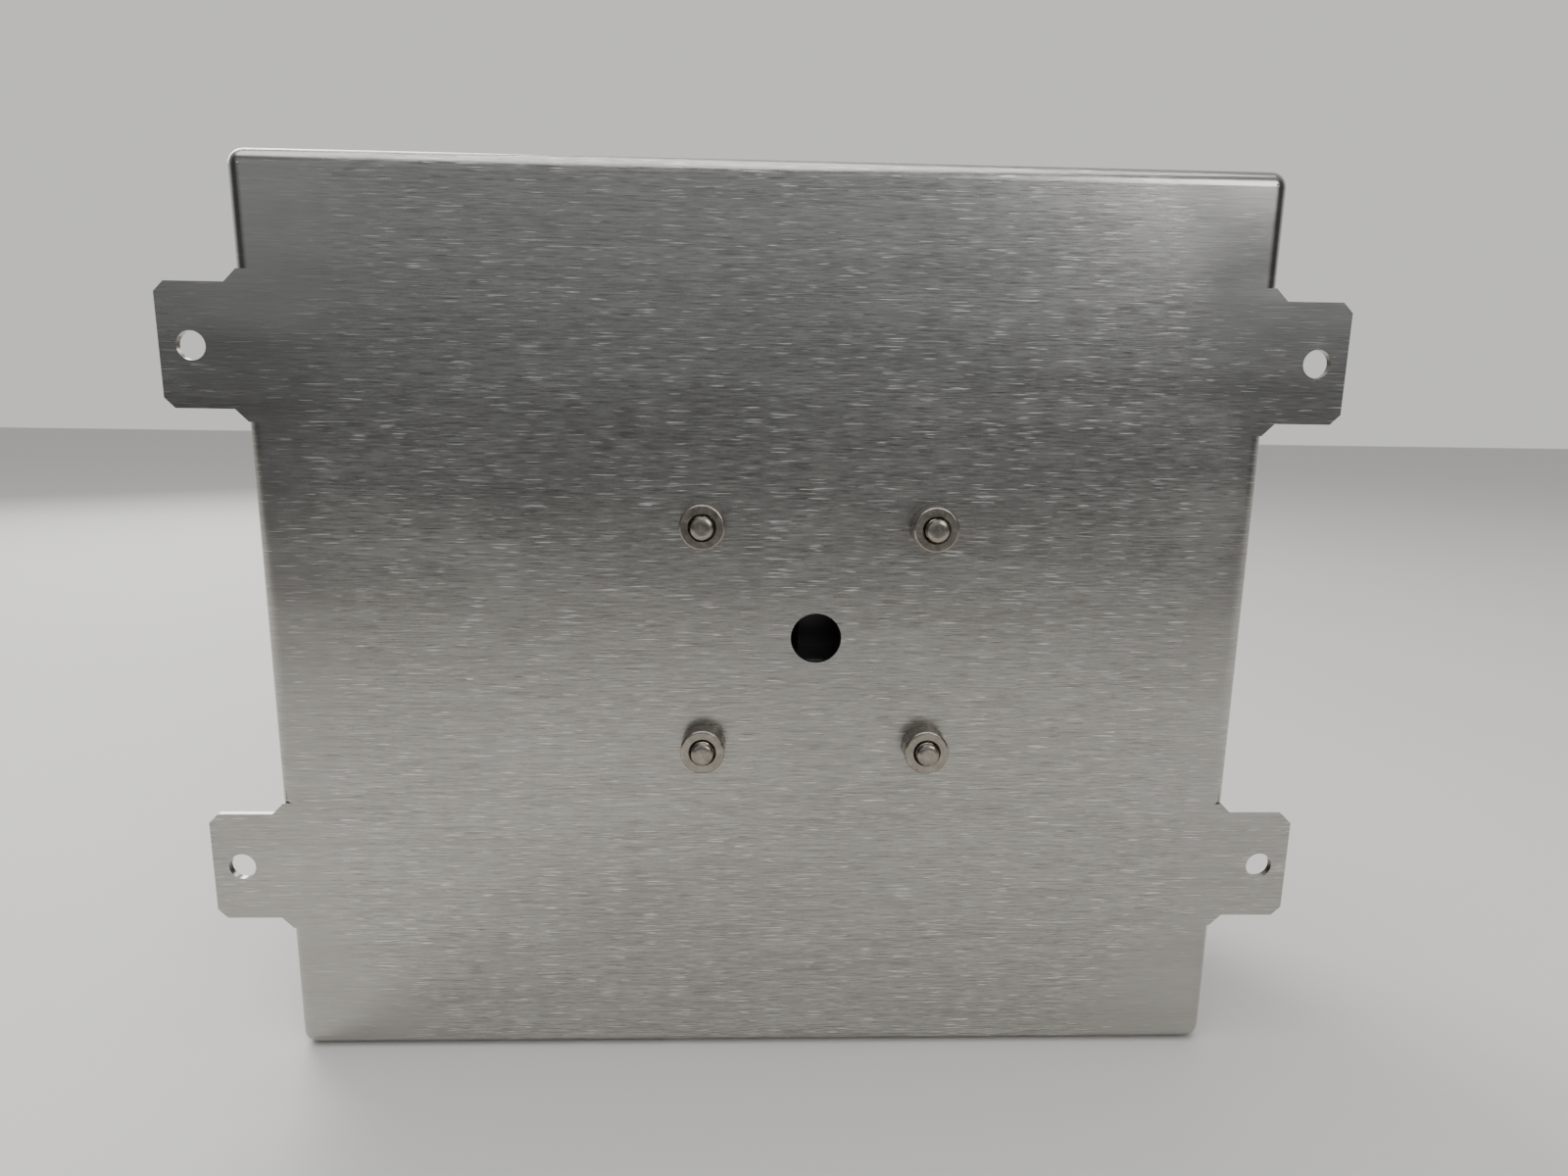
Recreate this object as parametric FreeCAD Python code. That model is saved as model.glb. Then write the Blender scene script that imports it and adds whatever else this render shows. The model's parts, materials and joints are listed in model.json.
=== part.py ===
"""Pedestrian push button station in a folded sheet-steel housing with four mounting ears.

The row frame is in millimetres: +Z up, +X to the right for someone who faces the button, +Y out of the
flat back. The origin is the middle of the four ear holes, in the plane of the housing's flat back.
The housing is a pan folded and welded from one sheet. Each ear is lanced out of a side wall and stays
flat while the wall folds, so a window of the ear's shape is left in the wall in front of it.
"""

import FreeCAD
import Part
import math
import os

V = FreeCAD.Vector
X, Y, Z = V(1, 0, 0), V(0, 1, 0), V(0, 0, 1)

# ---- Housing: one sheet, folded ----
sheet = 1.2
bend_outer = 2.8
bend_inner = bend_outer - sheet
neutral_line = 0.4  # share of the sheet, from the inside of a bend, that keeps its length
box_width = 174.0
box_height = 161.0
box_depth = 50.0
lip_width = 16.0
lip_corner = 4.0

# ---- Mounting ears ----
ear_reach = 12.7  # how far the ears stand out of the side walls
ear_height = 20.4
ear_chamfer = 1.7
ear_root = 2.1
ear_root_inset = 0.8  # how far inside the wall's face the root flare starts
ear_hole_r = 2.4
ear_hole_out = 7.5  # from a side wall's face to the ear holes
ear_hole_span_z = 92.5
ear_hole_rise = 3.0  # the middle of the ear holes, above the middle of the box
lance_gap = 0.15

# ---- Switch axis: studs, cable hole and button share it ----
axis_shift_x = -9.6
axis_shift_z = 0.4  # above the middle of the box
stud_pitch = 40.0
cable_hole_r = 4.5

# ---- M4, M3 and M5 hardware ----
m4_r = 2.0
m4_core_r = 1.65
m4_pitch = 0.7
m4_head_r = 4.0
m4_head_h = 2.6
m3_r = 1.5
m3_core_r = 1.2
m3_pitch = 0.5
m3_head_r = 2.7
m3_head_h = 1.8
m3_nut_af = 5.5  # across the flats
m3_nut_h = 2.4
m5_r = 2.5
m5_core_r = 2.1
m5_pitch = 0.8
m5_nut_af = 8.0
m5_nut_h = 4.0
thread_gap = 0.05
hole_gap = 0.25
clinch_nut_r = 3.95
lip_nut_h = 2.0
back_nut_h = 4.0
clinch_shank_r = 2.7
stud_tip_out = 1.5  # how far the screw ends stand out of the clinch nuts
lock_washer_t = 1.0
lock_washer_r = 3.6

# ---- Carrier inside the back ----
carrier_t = 3.6
carrier_edge = 8.5  # from a stud's axis to the carrier's edge
carrier_wire_hole_r = 5.5
carrier_corner = 5.0
carrier_margin = 4.0  # past the terminal block

# ---- Snap-action switch ----
switch_length = 27.8
switch_body_h = 15.9
switch_width = 10.3
switch_terminal_len = 6.3
switch_terminal_gap = 2.7
switch_terminal_w = 4.8
switch_terminal_t = 0.8
switch_pin_r = 1.1
switch_hole_inset = 2.8
switch_hole_drop = 3.2
switch_pin_reach = 7.0  # from the hinge pin
lug_t = 1.2
lug_r = 1.4
lever_reach = 22.0
lever_rise = 5.5
lever_t = 0.5
lever_width = 4.2
hinge_pin_r = 0.6
hinge_inset = 2.5
hinge_height = 1.6
roller_r = 2.4
roller_width = 3.2
axle_r = 0.8
axle_end = 0.3  # how far the axle stands out of the fork's cheeks
fork_t = 0.5
fork_gap = 0.2

# ---- Switch bracket ----
bracket_t = 2.0
bracket_foot = 8.0
bracket_screw_inset = 5.0
bracket_screw_len = 5.0

# ---- Terminal block ----
block_width = 22.0
block_length = 42.0
block_height = 16.0
block_poles = 4
block_pole_pitch = 9.0
block_gap = 20.0  # from the studs to the terminal block
block_screw_inset = 2.8
block_screw_len = 7.0
block_screw_sink = 4.0
clamp_screw_reach = 5.5
clamp_screw_r = 2.4
clamp_screw_h = 2.2
clamp_screw_sink = 3.8
wire_entry_r = 1.6
wire_entry_depth = 4.0
wire_entry_h = 5.7

# ---- Front cover ----
cover_sheet = 1.5
cover_depth = 7.0
cover_inset = 0.3
cover_bend = 3.0
gasket_t = 1.0
gasket_width = 12.0
gasket_inset = 1.6
spacer_r = 4.2
cover_screw_len = 16.0
cover_head_r = 3.8
cover_head_h = 2.2

# ---- Button ----
button_r = 28.0
button_travel = 4.0
button_skirt_t = 2.5
button_crown = 6.2  # how far the dome stands out of the bezel
button_wall = 3.0
cap_boss_r = 8.5
cap_boss_rise = 1.5  # from the skirt's edge up to the end of the cap's boss
bezel_gap = 1.2
bezel_spigot_t = 1.8
seal_width = 2.4
seal_seat = 1.2  # how deep the seal sits in the bezel's groove
seal_run_gap = 0.08
bezel_collar_t = 5.0
bezel_land = 9.8  # from the collar to the flange's rim
bezel_height = 9.0
bezel_flange_t = 3.4
bezel_edge = 1.0
bezel_foot = 1.2
bezel_crest = 2.4  # from the shoulders of the collar to its rounded top
bezel_seal_t = 0.8
bezel_screw_inset = 5.5  # from the flange's rim
bezel_screw_len = 10.0
bezel_screw_head_r = 2.85
bezel_screw_head_h = 1.65
guide_t = 4.0
guide_margin = 3.5  # past the bezel screws' circle
guide_boss_r = 11.0
guide_window_r = 6.0
guide_window_ring_r = 24.0
stem_r = 6.0
stem_run_gap = 0.08
stem_spigot_r = 4.0
stem_spigot_sink = 2.0  # from the cap's inner face to the bottom of the stem's socket
bush_wall = 2.0
clip_t = 1.2
clip_r = 8.5
clip_groove = 1.0
striker_t = 3.0
striker_floor = 1.0
moving_gap = 0.3
spring_wire_r = 0.8
spring_mean_r = 13.5
spring_turns = 4.0
spring_seat = 1.2  # below the cap's inner face

# ---- Indicator ----
indicator_barrel_r = 11.0
indicator_wall = 1.5
indicator_flange_r = 15.0
indicator_flange_h = 4.0
indicator_lens_r = 11.4
indicator_barrel_len = 15.0
indicator_drop = 42.5  # from the top of the box
indicator_side_gap = 1.45  # from the barrel to the housing's lip
indicator_nut_af = 28.0
indicator_nut_h = 3.5
indicator_seal_t = 0.8
led_recess = 6.0
led_ring_r = 4.6
led_r = 1.5
led_board_t = 1.6
lamp_fit = 0.1
plug_length = 5.0
plug_out = 1.0  # how far the plug stands out of the barrel
indicator_seat_t = 1.6
lens_height = 7.0
lens_rim_h = 2.4
lens_wall = 1.8

# ---- Arrow plate ----
arrow_gap = 5.15  # from the bezel's flange to the plate
arrow_side_margin = 9.15  # from the plate to the cover's side
arrow_plate_share = 0.66  # the plate's share of the height between its lower edge and the indicator
arrow_plate_t = 1.0
arrow_raise = 0.8
arrow_end_gap = 7.0  # from the arrow's ends to the plate's sides
arrow_margin = 24.5  # from the bottom of the box to the plate
rivet_r = 2.3
rivet_hole_r = 1.6
rivet_tail = 0.9
rivet_head_h = 1.1
rivet_inset = 4.0

# ---- Earth stud ----
earth_stud_len = 16.0
earth_flange_r = 3.5
earth_flange_t = 0.8
earth_washer_r = 5.0
earth_washer_t = 1.0
earth_nut_gap = 0.2
earth_inset = 21.0

# ---- Leads ----
lead_r = 0.9
lead_arc = 4.0

# ---- Places worked out from the sizes above ----
ear_span = box_width + 2 * ear_reach
ear_hole_span_x = box_width + 2 * ear_hole_out
box_cz = -ear_hole_rise
half_w, half_h = box_width / 2, box_height / 2
axis_x, axis_z = axis_shift_x, box_cz + axis_shift_z
ear_zs = (ear_hole_span_z / 2, -ear_hole_span_z / 2)
stud_places = [(axis_x + sx * stud_pitch / 2, axis_z + sz * stud_pitch / 2) for sx in (-1, 1) for sz in (-1, 1)]
lip_y = -box_depth
cover_back_y = lip_y - gasket_t
cover_y = cover_back_y - cover_depth
cover_inner_y = cover_y + cover_sheet
corner_x, corner_z = half_w - lip_width / 2, half_h - lip_width / 2
corner_places = [(sx * corner_x, box_cz + sz * corner_z) for sx in (-1, 1) for sz in (-1, 1)]

carrier_y = -sheet - carrier_t
carrier_half = stud_pitch / 2 + carrier_edge
mech_screw_len = back_nut_h + stud_tip_out + sheet + carrier_t + lock_washer_t

switch_back_y = carrier_y - switch_terminal_gap - switch_terminal_len
switch_front_y = switch_back_y - switch_body_h
hinge_x, hinge_y = axis_x - lever_reach, switch_front_y - hinge_height
roller_y = hinge_y - lever_rise
roller_top_y = roller_y - roller_r
switch_x0 = hinge_x - hinge_inset
switch_x1 = switch_x0 + switch_length
switch_pin_x = hinge_x + switch_pin_reach
switch_hole_y = switch_back_y - switch_hole_drop
switch_hole_xs = (switch_x0 + switch_hole_inset, switch_x1 - switch_hole_inset)
bracket_z = axis_z - switch_width / 2  # the face that the switch lies against

striker_y = roller_top_y - moving_gap
clip_y = striker_y - striker_t + clip_t  # the clip's back face
boss_y = clip_y - clip_t - moving_gap
guide_back_y = cover_inner_y + guide_t
bush_r = stem_r + bush_wall
bezel_base_y = cover_y - bezel_seal_t
bezel_top_y = bezel_base_y - bezel_height
skirt_y = cover_inner_y - button_travel - 0.5
crown_y = bezel_top_y - button_crown
bezel_bore_r = button_r + bezel_gap
seal_y = skirt_y - 1.4 - seal_width / 2  # its lip stays on the skirt over the whole travel
bezel_spigot_r = bezel_bore_r + bezel_spigot_t
bezel_collar_r = bezel_bore_r + bezel_collar_t
bezel_flange_r = bezel_collar_r + bezel_land
bezel_screw_ring_r = bezel_flange_r - bezel_screw_inset
guide_r = bezel_screw_ring_r + guide_margin
cover_bore_r = bezel_spigot_r + hole_gap

block_x0 = axis_x + block_gap + stud_pitch / 2
block_x1 = block_x0 + block_width
wire_entry_y = carrier_y - wire_entry_h
carrier_x0, carrier_x1 = axis_x - carrier_half, block_x1 + carrier_margin
indicator_x = half_w - lip_width - indicator_barrel_r - indicator_side_gap
indicator_z = box_cz + half_h - indicator_drop
arrow_x0 = axis_x + bezel_flange_r + arrow_gap
arrow_x1 = half_w - cover_inset - arrow_side_margin
arrow_z0 = box_cz - half_h + arrow_margin
arrow_z1 = arrow_z0 + arrow_plate_share * (indicator_z - indicator_flange_r - arrow_z0)
arrow_x, arrow_z = (arrow_x0 + arrow_x1) / 2, (arrow_z0 + arrow_z1) / 2
led_y = cover_y + led_recess
indicator_inner_r = indicator_barrel_r - indicator_wall
lamp_r = indicator_inner_r - lamp_fit
indicator_back_y = cover_y + indicator_barrel_len
earth_x, earth_z = half_w - earth_inset, box_cz - half_h + earth_inset


# ---- Shapes ----
def along_y(radius, y0, y1, x=0.0, z=0.0):
    """A cylinder parallel to Y, from y0 to y1."""
    low, high = min(y0, y1), max(y0, y1)
    return Part.makeCylinder(radius, high - low, V(x, low, z), Y)


def along_z(radius, z0, z1, x, y):
    low, high = min(z0, z1), max(z0, z1)
    return Part.makeCylinder(radius, high - low, V(x, y, low), Z)


def block(x0, x1, y0, y1, z0, z1):
    return Part.makeBox(x1 - x0, y1 - y0, z1 - z0, V(x0, y0, z0))


def ring(outer_r, inner_r, y0, y1, x=0.0, z=0.0):
    return along_y(outer_r, y0, y1, x, z).cut(along_y(inner_r, y0, y1, x, z))


def rounded_slab(x0, x1, z0, z1, corner, y0, y1):
    """A slab between y0 and y1 whose outline has round corners."""
    slab = block(x0, x1, y0, y1, z0, z1)
    return slab.makeFillet(corner, edges_along(slab, Y))


def edges_along(shape, direction):
    """The straight edges that run along a direction."""
    found = []
    for edge in shape.Edges:
        if isinstance(edge.Curve, Part.Line) and abs(edge.Curve.Direction.dot(direction)) > 0.999:
            found.append(edge)
    return found


def prism(points, push):
    """A polygon of points pushed along a vector."""
    return Part.Face(Part.makePolygon([V(*p) for p in points] + [V(*points[0])])).extrude(push)


def turned(points, x=0.0, z=0.0):
    """A solid of revolution about an axis parallel to Y. A point is (radius, y), or (radius, y, "arc") for
    the middle of an arc between its neighbours."""
    edges = []
    index = 0
    loop = list(points) + [points[0]]
    while index < len(loop) - 1:
        here, after = loop[index], loop[index + 1]
        if len(after) == 3:
            end = loop[index + 2]
            edges.append(Part.Arc(V(*here[:2], 0), V(*after[:2], 0), V(*end[:2], 0)).toShape())
            index += 2
        else:
            edges.append(Part.LineSegment(V(*here[:2], 0), V(*after[:2], 0)).toShape())
            index += 1
    solid = Part.Face(Part.Wire(edges)).revolve(V(0, 0, 0), Y, 360)
    solid.translate(V(x, 0, z))
    return solid


def dome(radius, rim_y, top_y):
    """Profile points of a spherical dome on the axis: its rim, the middle of its arc and its top."""
    rise = abs(top_y - rim_y)
    sphere_r = (radius**2 + rise**2) / (2 * rise)
    half = math.asin(radius / sphere_r) / 2
    out = math.copysign(sphere_r, top_y - rim_y)
    return [(radius, rim_y), (sphere_r * math.sin(half), top_y - out + out * math.cos(half), "arc"), (0, top_y)]


def round_corner(r, y, r_step, y_step):
    """Profile points of a quarter-round corner at (r, y). The steps say which way each side leaves it."""
    inset = 1 - math.sqrt(0.5)
    return [(r + r_step, y), (r + r_step * inset, y + y_step * inset, "arc"), (r, y + y_step)]


def ring_thread(major_r, core_r, pitch, y0, y1):
    """Profile points of a threaded shank from y0 to y1, as rings of one pitch."""
    count = int((y1 - y0) / pitch - 0.1)
    points = [(major_r, y0)]
    for turn in range(count):
        start = y0 + turn * pitch
        points.append((core_r, start + pitch / 2))
        points.append((major_r, start + pitch))
    return points


def tube(points, radius, arc):
    """A lead along straight runs joined by arcs, each as large as its runs allow and at most arc."""
    path = [V(*p) for p in points]
    edges = []
    start = path[0]
    for before, here, after in zip(path, path[1:], path[2:]):
        a, b = (before - here), (after - here)
        room = 0.45 * min(a.Length, b.Length)
        a.normalize()
        b.normalize()
        half = a.getAngle(b) / 2
        cut = min(room, arc / math.tan(half))
        p, q = here + a * cut, here + b * cut
        bulge = a + b
        bulge.normalize()
        radius_here = cut * math.tan(half)
        middle = here + bulge * (radius_here / math.sin(half) - radius_here)
        edges.append(Part.LineSegment(start, p).toShape())
        edges.append(Part.Arc(p, middle, q).toShape())
        start = q
    edges.append(Part.LineSegment(start, path[-1]).toShape())
    wire = Part.Wire(edges)
    section = Part.Wire([Part.makeCircle(radius, path[0], path[1] - path[0])])
    return wire.makePipeShell([section], True, True)


def group(shapes):
    return Part.makeCompound(shapes)


def save(name, shape):
    shape.exportStep(os.path.join("parts", name + ".step"))
    print(f"{name}: {len(shape.Solids)} solid(s), {shape.Volume:.1f} mm3, valid {shape.isValid()}")


# ---- Housing ----
def rounded_box(width, height, y0, y1, radius):
    box = block(-width / 2, width / 2, y0, y1, box_cz - height / 2, box_cz + height / 2)
    return box.makeFillet(radius, box.Edges)


def ear(side, z):
    """A flat ear with chamfered corners and flared roots, reaching into the flat of the back."""
    half = ear_height / 2
    flare = half + ear_root
    root = half_w - bend_outer - 1.0
    flare_x = half_w - ear_root_inset
    neck_x = flare_x + ear_root
    tip = ear_span / 2
    outline = [(root, flare), (flare_x, flare), (neck_x, half)]
    outline += [(tip - ear_chamfer, half), (tip, half - ear_chamfer)]
    outline += [(x, -h) for x, h in reversed(outline)]
    plate = prism([(side * x, 0, z + h) for x, h in outline], V(0, -sheet, 0))
    return plate.cut(along_y(ear_hole_r, -sheet - 1, 1, side * ear_hole_span_x / 2, z))


def lance_window(side, z):
    """The space that an ear leaves in its wall: the ear's own outline, folded through the bend."""
    half = ear_height / 2 + lance_gap
    flare = ear_height / 2 + ear_root
    bend_length = math.pi / 2 * (bend_inner + neutral_line * sheet)
    reach = ear_span / 2 - (half_w - bend_outer) - bend_length
    far = -bend_outer - reach - lance_gap
    neck = -bend_outer - ear_root / 2
    outline = [(1, flare), (-bend_outer, flare), (neck, half)]
    outline += [(far + ear_chamfer, half), (far, half - ear_chamfer)]
    outline += [(y, -h) for y, h in reversed(outline)]
    start = half_w - bend_outer
    return prism([(side * start, y, z + h) for y, h in outline], V(side * (bend_outer + 1), 0, 0))


def rear_housing():
    shell = rounded_box(box_width, box_height, -box_depth, 0, bend_outer)
    inside = rounded_box(box_width - 2 * sheet, box_height - 2 * sheet, -box_depth + sheet, -sheet, bend_inner)
    shell = shell.cut(inside)
    mouth_x, mouth_z = half_w - lip_width, half_h - lip_width
    low, high = box_cz - mouth_z, box_cz + mouth_z
    mouth = rounded_slab(-mouth_x, mouth_x, low, high, lip_corner, lip_y - 1, lip_y + sheet + 1)
    shell = shell.cut(mouth)
    for side in (-1, 1):
        for z in ear_zs:
            shell = shell.cut(lance_window(side, z))
    for side in (-1, 1):
        for z in ear_zs:
            shell = shell.fuse(ear(side, z))
    holes = [along_y(clinch_shank_r, -sheet - 1, 1, x, z) for x, z in stud_places]
    holes.append(along_y(cable_hole_r, -sheet - 1, 1, axis_x, axis_z))
    holes += [along_y(clinch_shank_r, lip_y - 1, lip_y + sheet + 1, x, z) for x, z in corner_places]
    for hole in holes:
        shell = shell.cut(hole)
    return shell.removeSplitter()


# ---- Fasteners ----
def clinch_nut(x, z, face_y, top):
    """A self-clinching nut. Its body stands out of the sheet's face at face_y, towards +Y."""
    mouth = 0.4
    edge = 0.35
    bore_r = m4_r + thread_gap
    profile = [
        (bore_r, -sheet + 0.2),
        (clinch_shank_r, -sheet + 0.2),
        (clinch_shank_r, 0),
        (clinch_nut_r, 0),
        (clinch_nut_r, top - edge),
        (clinch_nut_r - 0.3 * edge, top - 0.3 * edge, "arc"),
        (clinch_nut_r - edge, top),
        (bore_r + mouth, top),
        (bore_r, top - mouth),
    ]
    profile = [(p[0], face_y + p[1], *p[2:]) for p in profile]
    return turned(profile, x, z)


def cross_recess(x, y, z, depth, reach=1.9, thickness=0.75):
    """A cross slot cut into a head whose top is at y, towards +Y."""
    a = block(x - reach, x + reach, y - 0.5, y + depth, z - thickness / 2, z + thickness / 2)
    b = block(x - thickness / 2, x + thickness / 2, y - 0.5, y + depth, z - reach, z + reach)
    return a.fuse(b)


def machine_screw(x, z, seat_y, length, head_r, head_h, major_r, core_r, pitch):
    """A pan-head screw whose head sits at seat_y and points to -Y, and whose end is at seat_y + length."""
    end = seat_y + length
    bevel = 0.55
    shank = ring_thread(major_r, core_r, pitch, seat_y + 0.4, end - bevel)
    top = seat_y - head_h
    profile = [(0, top)] + round_corner(head_r, top, -0.5 * head_h, 0.5 * head_h)
    profile += [(head_r, seat_y), (major_r, seat_y)]
    profile += shank
    profile += [(major_r, end - bevel), (major_r - 0.2, end - 0.16, "arc"), (major_r - 0.6, end), (0, end)]
    return turned(profile, x, z).cut(cross_recess(x, seat_y - head_h, z, 1.5))


def clinch_nuts():
    return group([clinch_nut(x, z, 0, back_nut_h) for x, z in stud_places])


def mechanism_screws():
    seat = carrier_y - lock_washer_t
    size = (mech_screw_len, m4_head_r, m4_head_h, m4_r, m4_core_r, m4_pitch)
    return group([machine_screw(x, z, seat, *size) for x, z in stud_places])


def split_washer(x, z, y0, y1):
    """A spring lock washer with its slanted split."""
    body = ring(lock_washer_r, m4_r + hole_gap, y0, y1, x, z)
    split = block(x, x + lock_washer_r + 1, y0 - 1, y1 + 1, z - 0.3, z + 0.3)
    return body.cut(split)


def mechanism_lock_washers():
    return group([split_washer(x, z, carrier_y - lock_washer_t, carrier_y) for x, z in stud_places])


# ---- Carrier and switch ----
def carrier_plate():
    z0, z1 = axis_z - carrier_half, axis_z + carrier_half
    plate = rounded_slab(carrier_x0, carrier_x1, z0, z1, carrier_corner, carrier_y, -sheet)
    for x, z in stud_places:
        plate = plate.cut(along_y(m4_r + hole_gap, carrier_y - 1, 1, x, z))
    plate = plate.cut(along_y(carrier_wire_hole_r, carrier_y - 1, 1, axis_x, axis_z))
    for x, z in bracket_screw_places() + block_screw_places():
        plate = plate.cut(along_y(m3_r + thread_gap, carrier_y - 1, carrier_y + 3.2, x, z))
    return plate


def bracket_screw_places():
    z = bracket_z - bracket_t - bracket_foot / 2
    return [(switch_x0 + bracket_screw_inset, z), (switch_x1 - bracket_screw_inset, z)]


def block_screw_places():
    x = (block_x0 + block_x1) / 2
    reach = block_length / 2 - block_screw_inset
    return [(x, axis_z - reach), (x, axis_z + reach)]


def switch_bracket():
    low = bracket_z - bracket_t
    wall = block(switch_x0, switch_x1, switch_front_y + 2.0, carrier_y, low, bracket_z)
    foot = block(switch_x0, switch_x1, carrier_y - bracket_t, carrier_y, low - bracket_foot, low)
    angle = wall.fuse(foot).removeSplitter()
    for x, z in bracket_screw_places():
        angle = angle.cut(along_y(m3_r + hole_gap, carrier_y - bracket_t - 1, carrier_y + 1, x, z))
    for x in switch_hole_xs:
        angle = angle.cut(along_z(m3_r + hole_gap, low - 1, bracket_z + 1, x, switch_hole_y))
    return angle


def small_screw(x, z, seat_y, length):
    return machine_screw(x, z, seat_y, length, m3_head_r, m3_head_h, m3_r, m3_core_r, m3_pitch)


def bracket_screws():
    seat = carrier_y - bracket_t
    return group([small_screw(x, z, seat, bracket_screw_len) for x, z in bracket_screw_places()])


def switch_case():
    z0, z1 = axis_z - switch_width / 2, axis_z + switch_width / 2
    body = block(switch_x0, switch_x1, switch_front_y, switch_back_y, z0, z1)
    body = body.makeFillet(0.8, edges_along(body, Z))
    for x in switch_hole_xs:
        body = body.cut(along_z(m3_r + 0.1, z0 - 1, z1 + 1, x, switch_hole_y))
    lug_reach = lever_width / 2 + moving_gap
    for side in (-1, 1):
        near = axis_z + side * lug_reach
        far = near + side * lug_t
        low, high = min(near, far), max(near, far)
        lug = block(hinge_x - lug_r, hinge_x + lug_r, hinge_y - lug_r, switch_front_y + 0.5, low, high)
        body = body.fuse(lug)
    body = body.cut(along_z(hinge_pin_r, z0, z1, hinge_x, hinge_y))
    bore = along_y(switch_pin_r + 0.06, switch_front_y - 1, switch_front_y + 5.5, switch_pin_x, axis_z)
    return body.cut(bore).removeSplitter()


def lever_hinge_pin():
    reach = lever_width / 2 + moving_gap + lug_t
    return along_z(hinge_pin_r, axis_z - reach, axis_z + reach, hinge_x, hinge_y)


def switch_terminal_places():
    return [(switch_x0 + share * switch_length, axis_z) for share in (0.1, 0.36, 0.62)]


def switch_terminals():
    blades = []
    for x, z in switch_terminal_places():
        back = switch_back_y + switch_terminal_len
        reach, half = switch_terminal_w / 2, switch_terminal_t / 2
        blade = block(x - reach, x + reach, switch_back_y, back, z - half, z + half)
        corners = [e for e in edges_along(blade, Z) if e.CenterOfMass.y > back - 0.1]
        blade = blade.makeChamfer(1.0, corners)
        blades.append(blade)
    return group(blades)


def switch_screws():
    """Two screws through the switch and the bracket, heads on the switch's upper side, with nuts below."""
    top = axis_z + switch_width / 2
    bottom = bracket_z - bracket_t
    made = []
    for x in switch_hole_xs:
        shank = along_z(m3_r, bottom - m3_nut_h - 1.0, top, x, switch_hole_y)
        head = along_z(m3_head_r, top, top + m3_head_h, x, switch_hole_y)
        head = head.makeFillet(0.8, [e for e in head.Edges if abs(e.CenterOfMass.z - top - m3_head_h) < 0.01])
        slot = block(x - 3, x + 3, switch_hole_y - 0.4, switch_hole_y + 0.4, top + 1.0, top + 3)
        made.append(shank.fuse(head).cut(slot))
    return group(made)


def switch_nuts():
    bottom = bracket_z - bracket_t
    made = []
    for x in switch_hole_xs:
        nut = hexagon(m3_nut_af, bottom - m3_nut_h, bottom, x, switch_hole_y)
        made.append(nut.cut(along_z(m3_r + thread_gap, bottom - 3, bottom + 1, x, switch_hole_y)))
    return group(made)


def hexagon_corners(across_flats):
    r = across_flats / math.sqrt(3)
    return [(r * math.cos(math.radians(60 * k)), r * math.sin(math.radians(60 * k))) for k in range(6)]


def hexagon(across_flats, z0, z1, x, y):
    """A hexagonal prism parallel to Z."""
    return prism([(x + a, y + b, z0) for a, b in hexagon_corners(across_flats)], V(0, 0, z1 - z0))


def hexagon_y(across_flats, y0, y1, x, z):
    """A hexagonal prism parallel to Y."""
    return prism([(x + a, y0, z + b) for a, b in hexagon_corners(across_flats)], V(0, y1 - y0, 0))


def switch_lever():
    """A strip with a rolled eye at the hinge and a fork for the roller's axle at the other end."""
    angle = math.atan2(lever_rise, lever_reach)
    length = math.hypot(lever_rise, lever_reach)
    fork_half = roller_width / 2 + fork_gap
    z0, z1 = -lever_width / 2, lever_width / 2
    eye = Part.makeCylinder(hinge_pin_r + 0.55, lever_width, V(0, 0, z0), Z)
    strip = block(0.6, length - roller_r - 0.6, -lever_t / 2, lever_t / 2, z0, z1)
    shape = eye.fuse(strip)
    for side in (-1, 1):
        near = side * fork_half
        far = near + side * fork_t
        cheek = block(length - roller_r - 1.4, length + 1.0, -0.9, 0.9, min(near, far), max(near, far))
        shape = shape.fuse(cheek)
    shape = shape.cut(Part.makeCylinder(hinge_pin_r + thread_gap, lever_width + 2, V(0, 0, z0 - 1), Z))
    shape = shape.cut(Part.makeCylinder(axle_r, 12, V(length, 0, -6), Z))
    shape = shape.removeSplitter()
    shape.rotate(V(0, 0, 0), Z, -math.degrees(angle))
    shape.translate(V(hinge_x, hinge_y, axis_z))
    return shape


def lever_roller():
    body = along_z(roller_r, axis_z - roller_width / 2, axis_z + roller_width / 2, axis_x, roller_y)
    return body.cut(along_z(axle_r + thread_gap, axis_z - 5, axis_z + 5, axis_x, roller_y))


def roller_axle():
    reach = roller_width / 2 + fork_gap + fork_t + axle_end
    return along_z(axle_r, axis_z - reach, axis_z + reach, axis_x, roller_y)


def switch_pin():
    """The snap switch's own plunger, from inside its case to a domed tip just under the lever."""
    r = switch_pin_r
    lever_y = hinge_y - (switch_pin_x - hinge_x) * lever_rise / lever_reach
    tip = lever_y + lever_t / 2 + moving_gap
    end = switch_front_y + 3.5
    profile = dome(r, tip + r, tip)[::-1] + [(r, end), (0, end)]
    return turned(profile, switch_pin_x, axis_z)


# ---- Terminal block ----
def pole_zs():
    first = axis_z - block_pole_pitch * (block_poles - 1) / 2
    return [first + block_pole_pitch * k for k in range(block_poles)]


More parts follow.
